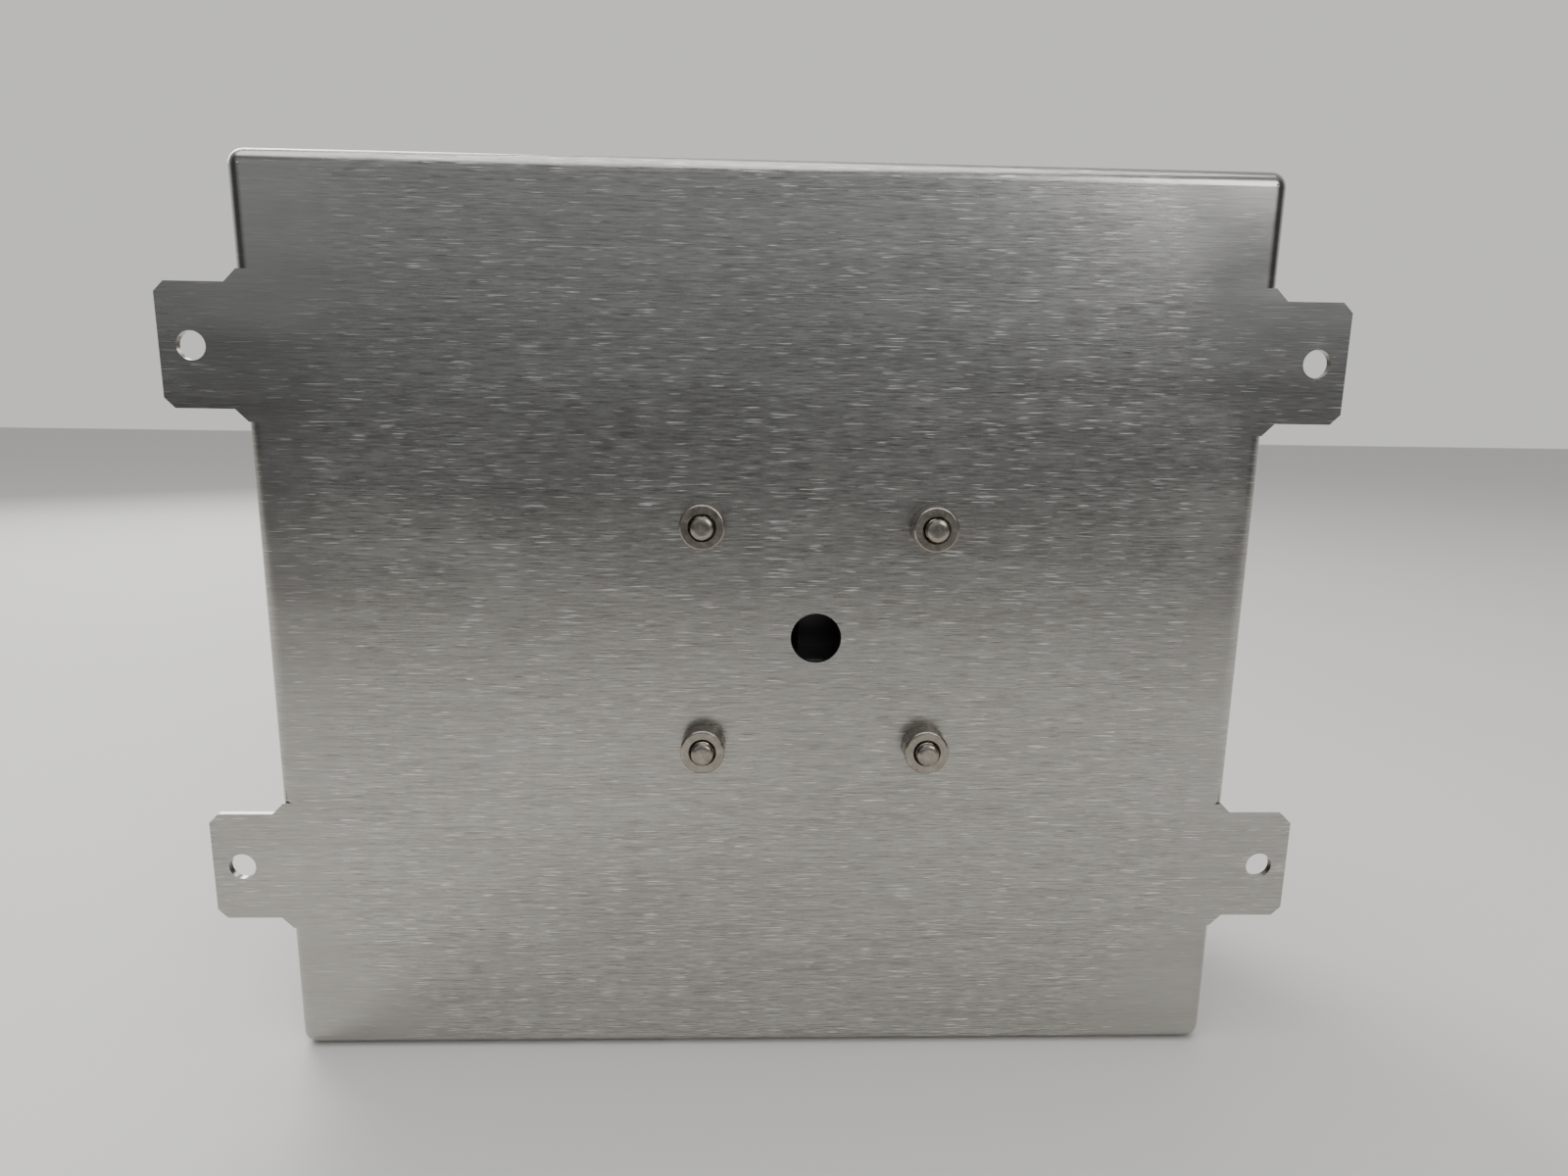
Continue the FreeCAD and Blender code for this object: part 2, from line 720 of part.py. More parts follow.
def terminal_block():
    z0, z1 = axis_z - block_length / 2, axis_z + block_length / 2
    front = carrier_y - block_height
    body = block(block_x0, block_x1, front, carrier_y, z0, z1)
    middle = (block_x0 + block_x1) / 2
    for side in (-1, 1):
        for z in pole_zs():
            x = middle + side * clamp_screw_reach
            floor = front + clamp_screw_sink + clamp_screw_h
            body = body.cut(along_y(clamp_screw_r + hole_gap, front - 1, floor, x, z))
            edge = block_x0 if side < 0 else block_x1
            mouth = Part.makeCylinder(wire_entry_r, wire_entry_depth, V(edge, wire_entry_y, z), X * -side)
            body = body.cut(mouth)
    for x, z in block_screw_places():
        body = body.cut(along_y(m3_r + hole_gap, front - 1, carrier_y + 1, x, z))
        body = body.cut(along_y(m3_head_r + 0.5, front - 1, carrier_y - block_screw_sink, x, z))
    return body


def terminal_clamp_screws():
    head_y = carrier_y - block_height + clamp_screw_sink
    middle = (block_x0 + block_x1) / 2
    made = []
    for side in (-1, 1):
        for z in pole_zs():
            x = middle + side * clamp_screw_reach
            head = along_y(clamp_screw_r, head_y, head_y + clamp_screw_h, x, z)
            slot = block(x - 3, x + 3, head_y - 1, head_y + 1, z - 0.35, z + 0.35)
            made.append(head.cut(slot))
    return group(made)


def terminal_block_screws():
    seat = carrier_y - block_screw_sink
    return group([small_screw(x, z, seat, block_screw_len) for x, z in block_screw_places()])


# ---- Earth stud ----
def earth_stud():
    seat = sheet + earth_flange_t
    end = sheet + earth_stud_len
    profile = [(0, -sheet), (earth_flange_r, -sheet), (earth_flange_r, -seat), (m5_r, -seat)]
    profile += [(r, -y) for r, y in ring_thread(m5_r, m5_core_r, m5_pitch, seat + 2 * m5_pitch, end - 0.5)]
    profile += [(m5_r - 0.5, -end), (0, -end)]
    return turned(profile, earth_x, earth_z)


def earth_washers():
    made = []
    for k in range(2):
        y = -sheet - earth_flange_t - earth_washer_t * k
        made.append(ring(earth_washer_r, m5_r + hole_gap, y - earth_washer_t, y, earth_x, earth_z))
    return group(made)


def earth_nuts():
    made = []
    start = -sheet - earth_flange_t - 2 * earth_washer_t
    for k in range(2):
        y1 = start - (m5_nut_h + earth_nut_gap) * k
        nut = hexagon_y(m5_nut_af, y1 - m5_nut_h, y1, earth_x, earth_z)
        made.append(nut.cut(along_y(m5_r + thread_gap, y1 - m5_nut_h - 1, y1 + 1, earth_x, earth_z)))
    return group(made)


# ---- Front cover ----
def front_cover():
    """A shallow tray with rounded edges. Its rim presses on the gasket."""
    w, h = box_width - 2 * cover_inset, box_height - 2 * cover_inset
    outer = block(-w / 2, w / 2, cover_y, cover_back_y, box_cz - h / 2, box_cz + h / 2)
    outer = outer.makeFillet(cover_bend, edges_along(outer, Y))
    front = [e for e in outer.Edges if abs(e.CenterOfMass.y - cover_y) < 1e-4]
    outer = outer.makeFillet(cover_bend - 0.01, front)
    t = cover_sheet
    inner = block(
        -w / 2 + t, w / 2 - t, cover_inner_y, cover_back_y + 1, box_cz - h / 2 + t, box_cz + h / 2 - t
    )
    inner = inner.makeFillet(cover_bend - t, edges_along(inner, Y))
    front = [e for e in inner.Edges if abs(e.CenterOfMass.y - cover_inner_y) < 1e-4]
    inner = inner.makeFillet(cover_bend - t - 0.01, front)
    tray = outer.cut(inner)
    holes = [(cover_bore_r, axis_x, axis_z), (indicator_barrel_r + hole_gap, indicator_x, indicator_z)]
    holes += [(m4_r + hole_gap, x, z) for x, z in corner_places]
    holes += [(m3_r + hole_gap, x, z) for x, z in bezel_screw_places()]
    holes += [(rivet_hole_r, x, z) for x, z in rivet_places()]
    for radius, x, z in holes:
        tray = tray.cut(along_y(radius, cover_y - 1, cover_inner_y + 1, x, z))
    return tray


def cover_gasket():
    outer_x, outer_z = half_w - gasket_inset, half_h - gasket_inset
    inner_x, inner_z = outer_x - gasket_width, outer_z - gasket_width
    slab = rounded_slab(-outer_x, outer_x, box_cz - outer_z, box_cz + outer_z, 3.0, cover_back_y, lip_y)
    hollow = rounded_slab(
        -inner_x, inner_x, box_cz - inner_z, box_cz + inner_z, 2.0, cover_back_y - 1, lip_y + 1
    )
    slab = slab.cut(hollow)
    for x, z in corner_places:
        slab = slab.cut(along_y(m4_r + hole_gap, cover_back_y - 1, lip_y + 1, x, z))
    return slab


def cover_spacers():
    return group([ring(spacer_r, m4_r + hole_gap, cover_inner_y, cover_back_y, x, z) for x, z in corner_places])


def cover_clinch_nuts():
    return group([clinch_nut(x, z, lip_y + sheet, lip_nut_h) for x, z in corner_places])


def button_head_screw(x, z, seat_y, length, head_r, head_h, major_r, core_r, pitch, socket_r):
    """A domed screw with a six-sided socket and a centre post, as tamper-proof screws have."""
    end = seat_y + length
    profile = dome(head_r, seat_y - 0.3, seat_y - head_h)[::-1]
    profile += [(head_r, seat_y), (major_r, seat_y)]
    profile += ring_thread(major_r, core_r, pitch, seat_y + 0.5, end - 0.5)
    profile += [(major_r, end - 0.5), (major_r - 0.5, end), (0, end)]
    depth = min(1.6, head_h * 0.75)
    socket = hexagon_y(socket_r * 2, seat_y - head_h - 0.5, seat_y - head_h + depth, x, z)
    post = along_y(socket_r * 0.42, seat_y - head_h + 0.2, seat_y - head_h + depth, x, z)
    return turned(profile, x, z).cut(socket.cut(post))


def cover_screws():
    size = (cover_screw_len, cover_head_r, cover_head_h, m4_r, m4_core_r, m4_pitch, 1.25)
    return group([button_head_screw(x, z, cover_y, *size) for x, z in corner_places])


# ---- Bezel and guide ----
def bezel_screw_places():
    made = []
    for k in range(4):
        angle = math.radians(45 + 90 * k)
        x = axis_x + bezel_screw_ring_r * math.cos(angle)
        made.append((x, axis_z + bezel_screw_ring_r * math.sin(angle)))
    return made


def bezel():
    """A cast guard ring: a flat flange for its screws, and a raised collar round the button."""
    collar_r = bezel_collar_r
    step_y = bezel_base_y - bezel_flange_t
    collar_mid = (collar_r + bezel_bore_r) / 2
    profile = [
        (bezel_bore_r, cover_inner_y - 0.1),
        (bezel_spigot_r, cover_inner_y - 0.1),
        (bezel_spigot_r, bezel_base_y),
        (bezel_flange_r, bezel_base_y),
        (bezel_flange_r, step_y + bezel_edge),
        (bezel_flange_r - 0.3 * bezel_edge, step_y + 0.3 * bezel_edge, "arc"),
        (bezel_flange_r - bezel_edge, step_y),
        (collar_r + bezel_foot, step_y),
        (collar_r + 0.3 * bezel_foot, step_y - 0.3 * bezel_foot, "arc"),
        (collar_r, step_y - bezel_foot),
        (collar_r, bezel_top_y + bezel_crest),
        (collar_mid, bezel_top_y, "arc"),
        (bezel_bore_r, bezel_top_y + bezel_crest),
    ]
    body = turned(profile, axis_x, axis_z)
    body = body.cut(along_y(bezel_bore_r + seal_seat, seal_y, seal_y + seal_width, axis_x, axis_z))
    for x, z in bezel_screw_places():
        body = body.cut(along_y(m3_r + hole_gap, step_y - 1, bezel_base_y + 1, x, z))
    return body


def button_seal():
    """A rubber ring in the bezel's groove. Its thin lip wipes the button's skirt."""
    outer, lip = bezel_bore_r + seal_seat, button_r + seal_run_gap
    middle = seal_y + seal_width / 2
    profile = [
        (outer, seal_y),
        (outer, seal_y + seal_width),
        (bezel_bore_r, seal_y + seal_width),
        (lip, middle + 0.4),
        (lip, middle - 0.4),
        (bezel_bore_r, seal_y),
    ]
    return turned(profile, axis_x, axis_z)


def bezel_gasket():
    body = ring(bezel_flange_r - 0.6, cover_bore_r + 0.3, bezel_base_y, cover_y, axis_x, axis_z)
    for x, z in bezel_screw_places():
        body = body.cut(along_y(m3_r + hole_gap, bezel_base_y - 1, cover_y + 1, x, z))
    return body


def bezel_screws():
    seat = bezel_base_y - bezel_flange_t
    size = (bezel_screw_len, bezel_screw_head_r, bezel_screw_head_h, m3_r, m3_core_r, m3_pitch, 1.0)
    return group([button_head_screw(x, z, seat, *size) for x, z in bezel_screw_places()])


def guide_plate():
    """The disc behind the cover that the bezel's screws draw up, with the boss that guides the stem."""
    disc = along_y(guide_r, cover_inner_y, guide_back_y, axis_x, axis_z)
    boss = along_y(guide_boss_r, guide_back_y - 1, boss_y, axis_x, axis_z)
    body = disc.fuse(boss)
    for k in range(4):
        angle = math.radians(90 * k)
        x = axis_x + guide_window_ring_r * math.cos(angle)
        z = axis_z + guide_window_ring_r * math.sin(angle)
        body = body.cut(along_y(guide_window_r, cover_inner_y - 1, guide_back_y + 1, x, z))
    body = body.cut(along_y(bush_r, cover_inner_y - 1, boss_y + 1, axis_x, axis_z))
    for x, z in bezel_screw_places():
        body = body.cut(along_y(m3_r + thread_gap, cover_inner_y - 1, guide_back_y + 1, x, z))
    return body.removeSplitter()


def guide_bush():
    """The plain bearing pressed into the boss, flush with it at both ends."""
    return ring(bush_r, stem_r + stem_run_gap, cover_inner_y, boss_y, axis_x, axis_z)


# ---- Button ----
def button_cap():
    """A domed cap with a skirt that runs in the bezel, a collar for the spring and a boss for the stem."""
    shoulder_y = crown_y + button_crown * 0.8
    under_y = crown_y + button_wall
    boss_end = skirt_y - cap_boss_rise
    r = button_r
    profile = dome(r - 2.2, shoulder_y - 1.1, crown_y)[::-1] + [
        (r - 0.55, shoulder_y + 0.2, "arc"),
        (r, shoulder_y + 1.6),
        (r, skirt_y - 0.5),
        (r - 0.5, skirt_y),
        (r - button_skirt_t, skirt_y),
        (r - button_skirt_t, shoulder_y + button_wall),
        (r - button_skirt_t - 3.0, under_y + 2.2),
        (spring_mean_r + spring_wire_r + 1.9, under_y + spring_seat),
        (spring_mean_r - spring_wire_r - 0.5, under_y + spring_seat),
        (spring_mean_r - spring_wire_r - 0.5, under_y + 3.4),
        (cap_boss_r, under_y + 3.4),
        (cap_boss_r, boss_end),
        (stem_spigot_r, boss_end),
        (stem_spigot_r, under_y + stem_spigot_sink),
        (0, under_y + stem_spigot_sink),
    ]
    return turned(profile, axis_x, axis_z)


def button_stem():
    spigot_top = crown_y + button_wall + stem_spigot_sink
    shoulder = skirt_y - cap_boss_rise
    core_r = stem_r - clip_groove
    profile = [
        (0, spigot_top),
        (stem_spigot_r, spigot_top),
        (stem_spigot_r, shoulder),
        (stem_r, shoulder),
        (stem_r, clip_y - clip_t),
        (core_r, clip_y - clip_t),
        (core_r, clip_y),
        (core_r, striker_y - striker_floor),
        (0, striker_y - striker_floor),
    ]
    return turned(profile, axis_x, axis_z)


def stem_clip():
    body = ring(clip_r, stem_r - clip_groove, clip_y - clip_t, clip_y, axis_x, axis_z)
    slot = block(axis_x - 2.5, axis_x + 2.5, clip_y - clip_t - 1, clip_y + 1, axis_z - clip_r - 1, axis_z - 3.0)
    return body.cut(slot)


def striker():
    """A nylon cup on the stem's end, which meets the switch's roller."""
    inner_r = stem_r - clip_groove
    profile = [
        (0, striker_y),
        (inner_r + 0.6, striker_y),
        (inner_r + 1.4, striker_y - 0.8),
        (inner_r + 1.4, clip_y),
        (inner_r, clip_y),
        (inner_r, striker_y - striker_floor),
        (0, striker_y - striker_floor),
    ]
    return turned(profile, axis_x, axis_z)


def return_spring():
    """A compression spring between the guide plate and the underside of the cap, as short runs and arcs."""
    y0 = crown_y + button_wall + spring_seat + spring_wire_r
    y1 = cover_inner_y - spring_wire_r
    steps = 12
    count = int(spring_turns * steps)
    route = []
    for k in range(count + 1):
        angle = 2 * math.pi * k / steps
        x = axis_x + spring_mean_r * math.cos(angle)
        route.append((x, y0 + (y1 - y0) * k / count, axis_z + spring_mean_r * math.sin(angle)))
    return tube(route, spring_wire_r, spring_mean_r)


# ---- Indicator ----
def indicator_bezel():
    """A bright ring with a barrel that passes through the cover."""
    base = cover_y - indicator_seal_t
    top = base - indicator_flange_h
    inner_r = indicator_inner_r
    profile = [
        (inner_r, indicator_back_y),
        (indicator_barrel_r, indicator_back_y),
        (indicator_barrel_r, base),
        (indicator_flange_r, base),
        (indicator_flange_r, base - 1.0),
        (indicator_flange_r - 0.8, top + 0.9, "arc"),
        (indicator_lens_r + 1.2, top),
        (indicator_lens_r + 0.1, top),
        (indicator_lens_r + 0.1, base - indicator_seat_t),
        (inner_r, base - indicator_seat_t),
    ]
    return turned(profile, indicator_x, indicator_z)


def indicator_lens():
    """A domed lens, hollow behind, with a plain rim that the bezel holds."""
    base = cover_y - indicator_seal_t - indicator_seat_t
    top = base - lens_height
    wall = lens_wall
    rim_y = base - lens_rim_h
    inner_r = indicator_lens_r - wall
    profile = [(inner_r, base), (indicator_lens_r, base)]
    profile += dome(indicator_lens_r, rim_y, top)
    profile += dome(inner_r, rim_y, top + wall)[::-1]
    return turned(profile, indicator_x, indicator_z)


def indicator_gasket():
    inner_r = indicator_barrel_r + hole_gap
    front = cover_y - indicator_seal_t
    return ring(indicator_flange_r - 0.8, inner_r, front, cover_y, indicator_x, indicator_z)


def indicator_nut():
    back = cover_inner_y + indicator_nut_h
    nut = hexagon_y(indicator_nut_af, cover_inner_y, back, indicator_x, indicator_z)
    bore_r = indicator_barrel_r + thread_gap
    return nut.cut(along_y(bore_r, cover_inner_y - 1, back + 1, indicator_x, indicator_z))


def led_board():
    board = along_y(lamp_r, led_y, led_y + led_board_t, indicator_x, indicator_z)
    for k in range(3):
        x, z = led_place(k)
        board = board.cut(along_y(0.4 * led_r, led_y - 1, led_y + led_board_t + 1, x, z))
    return board


def led_place(k):
    angle = math.radians(90 + 120 * k)
    return indicator_x + led_ring_r * math.cos(angle), indicator_z + led_ring_r * math.sin(angle)


def leds():
    """Three domed lamps, each with a rim at its foot."""
    made = []
    for k in range(3):
        x, z = led_place(k)
        profile = dome(led_r, led_y - 3.6, led_y - 5.0)[::-1]
        profile += [(led_r, led_y - 1.0), (led_r + 0.4, led_y - 1.0), (led_r + 0.4, led_y), (0, led_y)]
        made.append(turned(profile, x, z))
    return group(made)


def indicator_plug():
    """The moulded end that closes the barrel round the lamp's leads."""
    end = indicator_back_y + plug_out
    return along_y(lamp_r, end - plug_length, end, indicator_x, indicator_z)


# ---- Arrow plate ----
def rivet_places():
    xs = (arrow_x0 + rivet_inset, arrow_x1 - rivet_inset)
    zs = (arrow_z0 + rivet_inset, arrow_z1 - rivet_inset)
    return [(x, z) for x in xs for z in zs]


def arrow_plate():
    plate = rounded_slab(arrow_x0, arrow_x1, arrow_z0, arrow_z1, 3.5, cover_y - arrow_plate_t, cover_y)
    for x, z in rivet_places():
        plate = plate.cut(along_y(rivet_hole_r, cover_y - arrow_plate_t - 1, cover_y + 1, x, z))
    return plate


def direction_arrow():
    """A raised arrow that points along the crossing, to +X."""
    reach = (arrow_x1 - arrow_x0) / 2 - arrow_end_gap
    neck, shaft, head = 0.125 * reach, 0.3 * reach, 0.79 * reach
    upper = [(-reach, shaft), (neck, shaft), (neck, head), (reach, 0)]
    outline = upper + [(x, -h) for x, h in reversed(upper[:-1])]
    y = cover_y - arrow_plate_t
    arrow = prism([(arrow_x + x, y, arrow_z + h) for x, h in outline], V(0, -arrow_raise, 0))
    front = [e for e in arrow.Edges if abs(e.CenterOfMass.y - y + arrow_raise) < 1e-4]
    return arrow.makeChamfer(0.25, front)


def arrow_plate_rivets():
    seat = cover_y - arrow_plate_t
    made = []
    for x, z in rivet_places():
        tail = cover_inner_y + rivet_tail
        profile = dome(rivet_r, seat, seat - rivet_head_h)[::-1]
        profile += [(rivet_hole_r, seat), (rivet_hole_r, cover_inner_y), (rivet_r, cover_inner_y)]
        profile += [(rivet_r, tail), (0, tail)]
        made.append(turned(profile, x, z))
    return group(made)


# ---- Leads ----
def switch_leads():
    """Two leads from the switch's blades to the terminal block."""
    level = axis_z + switch_terminal_t / 2
    y = wire_entry_y
    zs = pole_zs()
    end = block_x0 + wire_entry_depth
    places = switch_terminal_places()
    made = []
    for place, pole, lift in ((places[1], zs[2], 9.0), (places[0], zs[3], 12.5)):
        x = place[0]
        route = [(x, y, level), (x, y, axis_z + lift), (axis_x + 12, y, axis_z + lift), (block_x0 - 6, y, pole)]
        route.append((end, y, pole))
        made.append(tube(route, lead_r, lead_arc))
    return group(made)


def lamp_leads():
    """Two leads from the indicator's plug to the far side of the terminal block."""
    start_y = indicator_back_y + plug_out
    zs = pole_zs()
    made = []
    for shift, pole, out in ((-2.0, zs[2], 5.0), (2.0, zs[3], 7.5)):
        x = indicator_x + shift
        route = [
            (x, start_y, indicator_z),
            (x, start_y + 9.0, indicator_z),
            (x + out, wire_entry_y - 10.0, indicator_z - 9.0),
            (block_x1 + out + 2.0, wire_entry_y, pole + 9.0),
            (block_x1 + out, wire_entry_y, pole),
            (block_x1 - wire_entry_depth, wire_entry_y, pole),
        ]
        made.append(tube(route, lead_r, lead_arc))
    return group(made)


PARTS = {
    "rear_housing": rear_housing,
    "clinch_nuts": clinch_nuts,
    "mechanism_screws": mechanism_screws,
    "mechanism_lock_washers": mechanism_lock_washers,
    "carrier_plate": carrier_plate,
    "switch_bracket": switch_bracket,
    "bracket_screws": bracket_screws,
    "switch_case": switch_case,
    "switch_terminals": switch_terminals,
    "switch_screws": switch_screws,
    "switch_nuts": switch_nuts,
    "lever_hinge_pin": lever_hinge_pin,
    "switch_lever": switch_lever,
    "lever_roller": lever_roller,
    "roller_axle": roller_axle,
    "switch_pin": switch_pin,
    "terminal_block": terminal_block,
    "terminal_clamp_screws": terminal_clamp_screws,
    "terminal_block_screws": terminal_block_screws,
    "earth_stud": earth_stud,
    "earth_washers": earth_washers,
    "earth_nuts": earth_nuts,
    "front_cover": front_cover,
    "cover_gasket": cover_gasket,
    "cover_spacers": cover_spacers,
    "cover_clinch_nuts": cover_clinch_nuts,
    "cover_screws": cover_screws,
    "bezel": bezel,
    "bezel_gasket": bezel_gasket,
    "bezel_screws": bezel_screws,
    "button_seal": button_seal,
    "guide_plate": guide_plate,
    "guide_bush": guide_bush,
    "button_cap": button_cap,
    "button_stem": button_stem,
    "stem_clip": stem_clip,
    "striker": striker,
    "return_spring": return_spring,
    "indicator_bezel": indicator_bezel,
    "indicator_lens": indicator_lens,
    "indicator_gasket": indicator_gasket,
    "indicator_nut": indicator_nut,
    "led_board": led_board,
    "leds": leds,
    "indicator_plug": indicator_plug,
    "arrow_plate": arrow_plate,
    "direction_arrow": direction_arrow,
    "arrow_plate_rivets": arrow_plate_rivets,
    "switch_leads": switch_leads,
    "lamp_leads": lamp_leads,
}

os.makedirs("parts", exist_ok=True)
for name, make in PARTS.items():
    save(name, make())
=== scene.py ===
# %% [markdown]
# # A pedestrian push button station
# The object is a shallow box folded from bare sheet steel. Its back has four ears for wall screws, four
# clinch nuts that hold the switch inside, and a plain hole for the cable. The front has a yellow cover with
# the button, a red lamp and an arrow plate.
# The shapes of almost all pieces come with the frame and are exact. This script gives each one its finish,
# and makes again the few pieces whose real shape follows a rule that the frame only hints at: screws with a
# true helical thread, and a coil spring with closed ends.

import json
import math

import bmesh
import bpy
from mathutils import Matrix, Vector


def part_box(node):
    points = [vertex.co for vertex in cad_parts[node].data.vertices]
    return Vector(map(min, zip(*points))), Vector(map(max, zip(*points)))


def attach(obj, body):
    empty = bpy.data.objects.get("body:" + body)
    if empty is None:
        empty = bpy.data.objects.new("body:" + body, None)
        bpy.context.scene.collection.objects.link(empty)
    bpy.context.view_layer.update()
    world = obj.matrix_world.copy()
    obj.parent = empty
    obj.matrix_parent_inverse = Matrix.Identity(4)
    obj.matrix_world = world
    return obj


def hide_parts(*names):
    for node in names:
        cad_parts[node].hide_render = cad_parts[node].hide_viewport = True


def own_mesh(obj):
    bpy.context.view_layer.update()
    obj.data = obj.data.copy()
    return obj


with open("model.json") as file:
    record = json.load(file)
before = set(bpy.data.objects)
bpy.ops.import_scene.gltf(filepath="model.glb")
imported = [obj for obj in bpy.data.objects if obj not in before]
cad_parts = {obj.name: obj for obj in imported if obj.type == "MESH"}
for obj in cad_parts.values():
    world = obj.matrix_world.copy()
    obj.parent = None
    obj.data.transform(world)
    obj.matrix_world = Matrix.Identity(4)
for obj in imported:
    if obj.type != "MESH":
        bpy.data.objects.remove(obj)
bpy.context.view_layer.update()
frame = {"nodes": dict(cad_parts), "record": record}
MM = 0.001

# %% [markdown]
# ## Where things are
# Places are read from the boxes of the nodes and from the record, so the looks follow if a size changes. A
# round piece's axis is the middle of its box. A few sizes that no box shows, such as the radius of a fold,
# are given where they are used.

# %% Places
back_low, back_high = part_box("rear_housing")
cover_low, cover_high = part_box("front_cover")


def middle(node):
    low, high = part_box(node)
    return (low + high) / 2


def span(node):
    low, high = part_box(node)
    return high - low


AXIS = middle("button_cap")
LAMP = middle("indicator_bezel")
COVER_INSET = 0.3 * MM
BOX_HALF = Vector(((cover_high.x - cover_low.x) / 2 + COVER_INSET, 0, (back_high.z - back_low.z) / 2))
BOX_MID = Vector((0, 0, (back_high.z + back_low.z) / 2))
BEND = 2.8 * MM  # how far a fold reaches in from the wall
EAR_HOLES = next(mount for mount in frame["record"]["mounts"] if mount["name"] == "ear_holes")
EAR_RISE = EAR_HOLES["dims"]["spacing_y_mm"] / 2 * MM
print("button axis", AXIS, "box half", BOX_HALF, "ears at", EAR_RISE)

# %% [markdown]
# ## Writing shaders as sums
# A node material is a formula. Its nodes could be placed and linked one by one, but then the formula is lost
# among the links. This small class wraps an output socket instead, so that a line such as `1 - mask * 0.4`
# adds the Math nodes for it.

# %% Wires
class Wire:
    """An output socket that can be added, multiplied and compared like a number."""

    def __init__(self, graph, socket):
        self.graph, self.socket = graph, socket

    def maths(self, operation, *others):
        inputs = dict(enumerate((self,) + others))
        return self.graph.add("ShaderNodeMath", {"operation": operation}, inputs)[0]

    def reflected(self, operation, first):
        return self.graph.add("ShaderNodeMath", {"operation": operation}, {0: first, 1: self})[0]

    def __add__(self, other):
        return self.maths("ADD", other)

    def __sub__(self, other):
        return self.maths("SUBTRACT", other)

    def __mul__(self, other):
        return self.maths("MULTIPLY", other)

    def __truediv__(self, other):
        return self.maths("DIVIDE", other)

    def __rsub__(self, other):
        return self.reflected("SUBTRACT", other)

    def __rtruediv__(self, other):
        return self.reflected("DIVIDE", other)

    def __gt__(self, other):
        return self.maths("GREATER_THAN", other)

    def __lt__(self, other):
        return self.maths("LESS_THAN", other)

    def __abs__(self):
        return self.maths("ABSOLUTE")

    __radd__ = __add__
    __rmul__ = __mul__

    def clamped(self):
        return self.maths("MAXIMUM", 0.0).maths("MINIMUM", 1.0)


print("Wires are ready")

# %% [markdown]
# ## Any other node
# Noise, ramps, mixes and all other nodes come from one method, `add`. It sets the node's own options first
# and then its inputs, because some options change which inputs there are. The same class builds materials,
# the room's light and the node groups that make shapes.

# %% Graphs
class Made:
    """A node that was added. Its outputs are read by number or by name."""

    def __init__(self, graph, node):
        self.graph, self.node = graph, node

    def __getitem__(self, key):
        return Wire(self.graph, self.node.outputs[key])


class Graph:
    """A node tree of a material or of Geometry Nodes."""

    def __init__(self, tree):
        self.tree = tree

    def add(self, kind, options=None, inputs=None):
        node = self.tree.nodes.new(kind)
        for name, value in (options or {}).items():
            setattr(node, name, value)
        for key, value in (inputs or {}).items():
            self.feed(node.inputs[key], value)
        return Made(self, node)

    def feed(self, socket, value):
        if isinstance(value, Wire):
            self.tree.links.new(value.socket, socket)
        else:
            socket.default_value = value

    def vector(self, x, y, z):
        return self.add("ShaderNodeCombineXYZ", inputs={0: x, 1: y, 2: z})[0]

    def parts(self, vector):
        split = self.add("ShaderNodeSeparateXYZ", inputs={0: vector})
        return split[0], split[1], split[2]

    def ramp(self, value, low, high):
        """0 below low, 1 above high, and smooth between."""
        limits = {"Value": value, "From Min": low, "From Max": high}
        return self.add("ShaderNodeMapRange", {"interpolation_type": "SMOOTHSTEP"}, limits)[0]

    def noise(self, vector, scale, detail=2.0, roughness=0.5):
        inputs = {"Vector": vector, "Scale": scale, "Detail": detail, "Roughness": roughness}
        return self.add("ShaderNodeTexNoise", inputs=inputs)[0]

    def mixed(self, share, first, second):
        """Two colours mixed by a share from 0 to 1."""
        inputs = {"Factor": share, 6: first, 7: second}
        return self.add("ShaderNodeMix", {"data_type": "RGBA"}, inputs)[2]


print("Graphs are ready")

# %% [markdown]
# ## A blank finish
# Each finish starts as one Principled shader. The numbers that are the same all over a surface are set on
# its sockets. What varies is a wire: colour, roughness and the height that becomes a bump. Heights are in
# metres, so a scratch's depth is its real one.

# %% A blank finish
def shade(colour):
    return (*colour, 1.0)


def new_finish(name, **fixed):
    """A material, its graph and its object coordinates."""
    material = bpy.data.materials.new(name)
    material.use_nodes = True
    graph = Graph(material.node_tree)
    shader = graph.tree.nodes["Principled BSDF"]
    for socket, value in fixed.items():
        shader.inputs[socket.replace("_", " ")].default_value = value
    place = graph.add("ShaderNodeTexCoord")["Object"]
    return material, graph, place


def finish_with(graph, colour, roughness, height=None):
    """Joins what varies to the shader. The height is in metres."""
    shader = graph.tree.nodes["Principled BSDF"]
    graph.feed(shader.inputs["Base Color"], colour)
    graph.feed(shader.inputs["Roughness"], roughness)
    if height is not None:
        bump = graph.add("ShaderNodeBump", inputs={"Strength": 1.0, "Distance": 1.0, "Height": height})
        graph.feed(shader.inputs["Normal"], bump[0])


print("A blank finish is ready")

# %% [markdown]
# ## Bare steel with a brushed grain
# The sheet was brushed in its rolling direction before it was folded. So the grain runs along X on the back
# and on the walls above and below it, and turns with the sheet down the two side walls. The walls are
# unfolded into one flat pattern: `u` along the grain and `w` across it. Five layers of noise, stretched along
# `u`, give the fine and the long grain, the bright and the dark scratches, and the broad bands. The welded
# corners were ground and polished by hand, so there the grain fades into soft waves. Lancing the ears also
# left the sheet a little dished near them.

